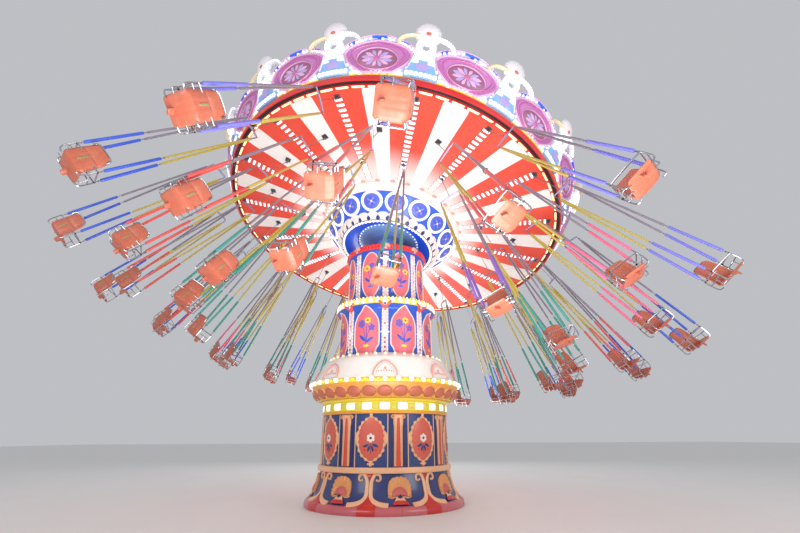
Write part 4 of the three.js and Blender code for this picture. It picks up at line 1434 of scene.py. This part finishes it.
def makeRoof():
    # sheets that sag a little between sixteen rafters, with a rolled seam on every rafter
    look = roofLook
    shape = newShape()
    outline = [
        (4.7, 1.002), (4.885, 1.002), (4.89, 1.03), (4.86, 1.05), (4.2, 1.155), (3.4, 1.285), (2.6, 1.42),
        (1.8, 1.553), (0.9, 1.703), (0.5, 1.88), (0.2, 2.005), (0.062, 2.066),
    ]
    rows = []
    for k in range(bays * look["steps"]):
        angle = math.radians(lampLine + 360 / bays * k / look["steps"])
        sag = look["sag"] * math.sin(math.pi * (k % look["steps"]) / look["steps"])
        drops = [sag * math.sin(math.pi * i / 11) if 2 < i < 9 else 0 for i in range(len(outline))]
        rows.append([(r * math.cos(angle), r * math.sin(angle), z - drop) for (r, z), drop in zip(outline, drops)])
    addGrid(shape, rows, 0, closeAlong=True)
    for k in range(bays):
        angle = math.radians(lampLine + 360 / bays * k)
        path = [(r * math.cos(angle), r * math.sin(angle), z + 0.006) for r, z in outline[3:9]]
        addTube(shape, path, look["seam"], 6, 0)
    addLathe(shape, [(0.94, 1.698), (0.93, 1.72), (0.89, 1.716)], 0, 64)
    addLathe(shape, [(0.0, 2.04), (0.062, 2.04), (0.07, 2.055), (0.05, 2.07), (0.0, 2.072)], 0, 24)
    addPiece("roof_sheets", shape, ["roof"], 40, "carousel", ["canopy_roof"])


# a chair on its chains, in the frame of its hook: hanging down -Z, rider facing -Y
chairLook = {"middle": -4.35, "thick": 0.034, "rail": 0.285, "creaseRow": 12}


def chairMesh():
    look = chairLook
    z0 = look["middle"]
    # the tub's middle line from the front lip, under the rider and up the back, then its half width and side curl
    line = [
        (-0.232, -0.226, 0.150, 0.0), (-0.236, -0.240, 0.176, 0.0), (-0.222, -0.247, 0.195, 0.004),
        (-0.15, -0.244, 0.206, 0.014), (-0.05, -0.242, 0.211, 0.022), (0.05, -0.242, 0.213, 0.028),
        (0.13, -0.234, 0.214, 0.034), (0.172, -0.205, 0.215, 0.038), (0.182, -0.15, 0.215, 0.04),
        (0.180, -0.05, 0.213, 0.04), (0.179, 0.03, 0.209, 0.038), (0.178, 0.060, 0.206, 0.036),
        (0.178, 0.074, 0.205, 0.035), (0.178, 0.088, 0.204, 0.035), (0.178, 0.16, 0.196, 0.03),
        (0.179, 0.23, 0.186, 0.022), (0.180, 0.27, 0.172, 0.014), (0.181, 0.292, 0.146, 0.006),
        (0.181, 0.300, 0.10, 0.0),
    ]
    shape = newShape()
    count = 15
    rows = []
    for i, (y, z, half, curl) in enumerate(line):
        before, after = line[max(i - 1, 0)], line[min(i + 1, len(line) - 1)]
        along = Vector((after[0] - before[0], after[1] - before[1])).normalized()
        inward = Vector((-along.y, along.x))
        thin = look["thick"] * (0.5 if i in (0, len(line) - 1) else 1)
        inner, outer = [], []
        for k in range(count):
            v = -1 + 2 * k / (count - 1)
            rise = curl * abs(v) ** 4
            rib = 0.003 * math.cos(5 * math.pi * v) if 2 < i < 15 else 0
            crease = 0.009 if i == look["creaseRow"] else 0
            a = inward * (rise + thin / 2)
            b = inward * (rise - thin / 2 - rib + crease)
            inner.append((half * v, y + a.x, z0 + z + a.y))
            outer.append((half * v, y + b.x, z0 + z + b.y))
        rim = half + thin * 0.35
        edgeRight = (rim, y + inward.x * curl, z0 + z + inward.y * curl)
        edgeLeft = (-rim, y + inward.x * curl, z0 + z + inward.y * curl)
        rows.append(inner + [edgeRight] + outer[::-1] + [edgeLeft])
    addGrid(shape, rows, 0, closeAcross=True, caps=True)
    # a raised strip on the lower back, its pale olive a painted highlight, and a moulded tab under the pan
    strip = newShape()
    addPillow(strip, (-0.017, -0.15), (0.017, 0.03), 0.007, 3)
    addShape(shape, strip, lambda p: (p.x, 0.199 + p.z, z0 + p.y))
    tab = smoothPath([(0, -0.15, z0 - 0.235), (0, -0.155, z0 - 0.29), (0, -0.165, z0 - 0.345)], 3)
    addTube(shape, tab, [0.055, 0.055, 0.055, 0.054, 0.053, 0.05, 0.042], 12, 0, flat=0.4)
    # the chromed bar along the top of the back
    top = [
        (-0.197, 0.19, z0 + 0.2), (-0.19, 0.194, z0 + 0.255), (-0.165, 0.196, z0 + 0.292),
        (-0.11, 0.197, z0 + 0.308), (0, 0.197, z0 + 0.31),
    ]
    addTube(shape, smoothPath(top + [(-x, y, z) for x, y, z in reversed(top[:-1])], 2), 0.0135, 8, 1)
    # chromed side frames that stand clear of the tub, the rear cross bar and the safety bar
    for hand in (1, -1):
        x = hand * look["rail"]
        frameLine = [
            (hand * 0.2, 0.15, z0 - 0.262), (x * 0.9, 0.165, z0 - 0.25), (x, 0.173, z0 - 0.19), (x, 0.173, z0 - 0.05),
            (x, 0.172, z0 + 0.01), (x, 0.15, z0 + 0.022), (x, 0.0, z0 + 0.02), (x, -0.17, z0 + 0.02),
            (x, -0.2, z0 + 0.005), (x, -0.204, z0 - 0.08), (x, -0.2, z0 - 0.18), (x * 0.93, -0.19, z0 - 0.245),
            (hand * 0.19, -0.18, z0 - 0.262),
        ]
        addTube(shape, smoothPath(frameLine, 2), 0.0125, 8, 1)
        addTube(shape, [(x, 0.173, z0 - 0.1), (x, -0.015, z0 - 0.106), (x, -0.203, z0 - 0.1)], 0.010, 8, 1)
        for y, z in ((0.165, -0.1), (-0.05, -0.1), (-0.05, -0.24)):
            addTube(shape, [(hand * 0.2, y, z0 + z), (x, y + 0.004, z0 + z)], 0.010, 8, 1)
        addTube(shape, [(x, -0.05, z0 - 0.104), (x, -0.05, z0 - 0.24)], 0.009, 8, 1)
        for y in (0.15, -0.19):
            addBall(shape, (x, y, z0 + 0.02), 0.02, 2, 8, 4)
    addTube(shape, [
        (-look["rail"], 0.173, z0 + 0.018), (0, 0.173, z0 + 0.018), (look["rail"], 0.173, z0 + 0.018),
    ], 0.0125, 8, 1)
    bar = [
        (-look["rail"], -0.198, z0 + 0.012), (-0.2, -0.206, z0 + 0.016), (0.2, -0.206, z0 + 0.016),
        (look["rail"], -0.198, z0 + 0.012),
    ]
    addTube(shape, smoothPath(bar, 2), 0.0125, 8, 1)
    return meshFrom("chair", shape, ["chairPlastic", "chromedTube", "greyForging", "chairHighlight"], 40)


def addLink(shape, start, end, wire, wide, turn, finish):
    # one link of chain: a loop of round wire
    a, b = Vector(start), Vector(end)
    along = (b - a).normalized()
    side = along.orthogonal().normalized()
    side = Matrix.Rotation(turn, 3, along) @ side
    a, b = a - along * wire, b + along * wire
    half = side * (wide - wire) / 2
    bend = along * wire * 1.6
    path = [
        a + half * 0.6, a + half + bend, b + half - bend, b + half * 0.6,
        b - half * 0.6, b - half - bend, a - half + bend, a - half * 0.6,
    ]
    addTube(shape, path, wire / 2, 3, finish, closed=True)


chainLook = {
    "pitch": 0.072, "wire": 0.009, "wide": 0.03, "barDrop": 0.8, "hose": 0.0235, "sleeve": 0.0295, "join": 0.67,
    "pastPlumb": 0.02,  # degrees by which a hinge's range goes past plumb
}


def addChain(shape, start, end, finish):
    look = chainLook
    a, b = Vector(start), Vector(end)
    count = max(round((b - a).length / look["pitch"]), 1)
    for i in range(count):
        ends = a.lerp(b, i / count), a.lerp(b, (i + 1) / count)
        addLink(shape, *ends, look["wire"], look["wide"], math.pi / 2 * (i % 2), finish)


def sideChains():
    z1 = -chainLook["barDrop"] - 0.02
    z2 = chairLook["middle"] + 0.02
    for hand in (1, -1):
        for y0, y1 in ((0.008, 0.15), (-0.008, -0.19)):
            yield hand, Vector((hand * 0.262, y0, z1)), Vector((hand * 0.285, y1, z2))


def rigMesh():
    shape = newShape()
    # the knob in the hanger, the single chain and the spreader bar
    addTube(
        shape, [(0, -0.0195, 0), (0, -0.015, 0), (0, 0.015, 0), (0, 0.0195, 0)], [0.016, 0.0195, 0.0195, 0.016], 16,
        0,
    )
    addBlock(shape, (-0.011, -0.011, -0.075), (0.011, 0.011, -0.005), 0, 0.003)
    addChain(shape, (0, 0, -0.08), (0, 0, -0.765), 0)
    bar = [
        (-0.275, 0, -0.806), (-0.2, 0, -0.803), (-0.06, 0, -0.796), (0.06, 0, -0.796), (0.2, 0, -0.803),
        (0.275, 0, -0.806),
    ]
    addTube(shape, bar, [0.014, 0.018, 0.022, 0.022, 0.018, 0.014], 10, 1)
    addBall(shape, (0, 0, -0.78), 0.028, 1, 10, 6)
    r, join = chainLook["hose"], chainLook["join"]
    for hand, top, foot in sideChains():
        addChain(shape, top, top.lerp(foot, 0.06), 0)
        addChain(shape, top.lerp(foot, join - 0.025), top.lerp(foot, join + 0.015), 0)
        addChain(shape, top.lerp(foot, 0.965), foot, 0)
        hose = [top.lerp(foot, t) for t in (0.05, 0.054, join - 0.019, join - 0.015)]
        addTube(shape, hose, [r * 0.8, r, r, r * 0.8], 9, 2 if hand > 0 else 3)
    return meshFrom("swing_rig", shape, ["zincChain", "spreaderSteel", "greyHose", "yellowHose"], 40)


def sleeveMesh(name):
    shape = newShape()
    r, join = chainLook["sleeve"], chainLook["join"]
    for hand, top, foot in sideChains():
        path = [top.lerp(foot, t) for t in (join + 0.007, join + 0.011, 0.965, 0.97)]
        addTube(shape, path, [r * 0.82, r, r, r * 0.82], 9, 0)
    return meshFrom(name + "_sleeves", shape, [name + "Sleeve"], 40)


sleeveColours = {
    "blue": "#3a5ed4", "lavender": "#7777dd", "red": "#e25854", "pink": "#e9688c", "green": "#3f9a8c",
    "violet": "#8e66c2",
}
# the outer ring's hoses are blue, the middle ring's red and the inner ring's green, with a few odd ones
oddSleeves = {
    "outer": {
        16: "lavender", 1: "lavender", 2: "lavender", 3: "lavender",
    }, "middle": {3: "pink", 4: "pink", 11: "pink", 12: "pink"},
    "inner": {2: "violet", 9: "violet"},
}


def makeSwings():
    chair, rig = chairMesh(), rigMesh()
    for name, colour in sleeveColours.items():
        finishOf[name + "Sleeve"] = vinylSleeve(name + "SleevePvc", colour)
    sleeves = {name: sleeveMesh(name) for name in sleeveColours}
    usual = {"outer": "blue", "middle": "red", "inner": "green"}
    for name, joint in joints.items():
        if "_swing_" not in name:
            continue
        ring, number = name.split("_swing_")
        across = -Vector(joint["axis"]).normalized()
        flat = across.cross(canopyUp).normalized()
        fling = math.radians(-joint["range_deg"][0] - chainLook["pastPlumb"])
        outward = flat * math.cos(fling) + canopyUp * math.sin(fling)
        upward = canopyUp * math.cos(fling) - flat * math.sin(fling)
        place = Matrix.Translation(joint["pos_m"]) @ Matrix((outward, across, upward)).transposed().to_4x4()
        body = "swing_" + ring + "_" + number + "_body"
        makePiece(
            "chair_" + ring + "_" + number, chair, body, place, ["swing_" + ring + "_" + number],
        )
        makePiece("rig_" + ring + "_" + number, rig, body, place)
        pick = oddSleeves[ring].get(int(number), usual[ring])
        makePiece("sleeves_" + ring + "_" + number, sleeves[pick], body, place)


for step in (
    makePlinth, makeSkirt, makeSkirtOrnaments, makeDrum, makeCornice, makeDome, makeLowerTier, makeUpperTier,
    makeCentreDrum, makeCeiling, makeFascia, makeRoof, makeSwings,
):
    step()
    print(step.__name__, "done")

# the tilt head takes the cove disc's enamel, whose pale blue is painted light from below
headNode = frame["nodes"]["tilt_head"]
headNode.data.materials.clear()
headNode.data.materials.append(finishOf["coveDisc"])

# a pale studio floor and soft light from the front, from below and from both sides
floorMesh = bpy.data.meshes.new("studio_floor")
floorMesh.from_pydata([(-90, -60, 0), (90, -60, 0), (90, 120, 0), (-90, 120, 0)], [], [(0, 1, 2, 3)])
floor = bpy.data.objects.new("studio_floor", floorMesh)
bpy.context.scene.collection.objects.link(floor)
floorPaint, floorTree, floorPlace = startMaterial("paleConcrete")
tone = mottledColour(floorTree, floorPlace, "#e9e7e4", 1.5, 0.03, "#dcd6cf", 0.1)[0]
endMaterial(floorPaint, floorTree, {"IOR": 1.5, "Roughness": 0.7}, {"Base Color": tone})
floorMesh.materials.append(floorPaint)

world = bpy.data.worlds.new("studio")
bpy.context.scene.world = world
world.use_nodes = True
world.node_tree.nodes["Background"].inputs["Color"].default_value = (0.93, 0.95, 1.0, 1)
world.node_tree.nodes["Background"].inputs["Strength"].default_value = 0.55
# place, aim, size in metres, watts and spread in degrees
studioLights = {
    "key": ((-10, -18, 9), (0, 0, 4), 9, 870, 180),
    "fill": ((13, -13, 6.5), (0, 0, 5), 7, 600, 180),
    "under": ((1, -8, 0.4), (1, -8, 8), 6, 850, 160),
    "underBack": ((0, 6.5, 0.4), (0, 6.5, 8), 6, 520, 160),
    "back": ((0, 16, 12), (0, 0, 6), 10, 650, 180),
}
for name, (place, aim, size, power, spread) in studioLights.items():
    lamp = bpy.data.objects.new(name, bpy.data.lights.new(name, "AREA"))
    bpy.context.scene.collection.objects.link(lamp)
    lamp.data.energy = power
    lamp.data.size = size
    lamp.data.spread = math.radians(spread)
    lamp.visible_camera = False
    lamp.location = place
    lamp.rotation_euler = (Vector(aim) - Vector(place)).to_track_quat("-Z", "Y").to_euler()
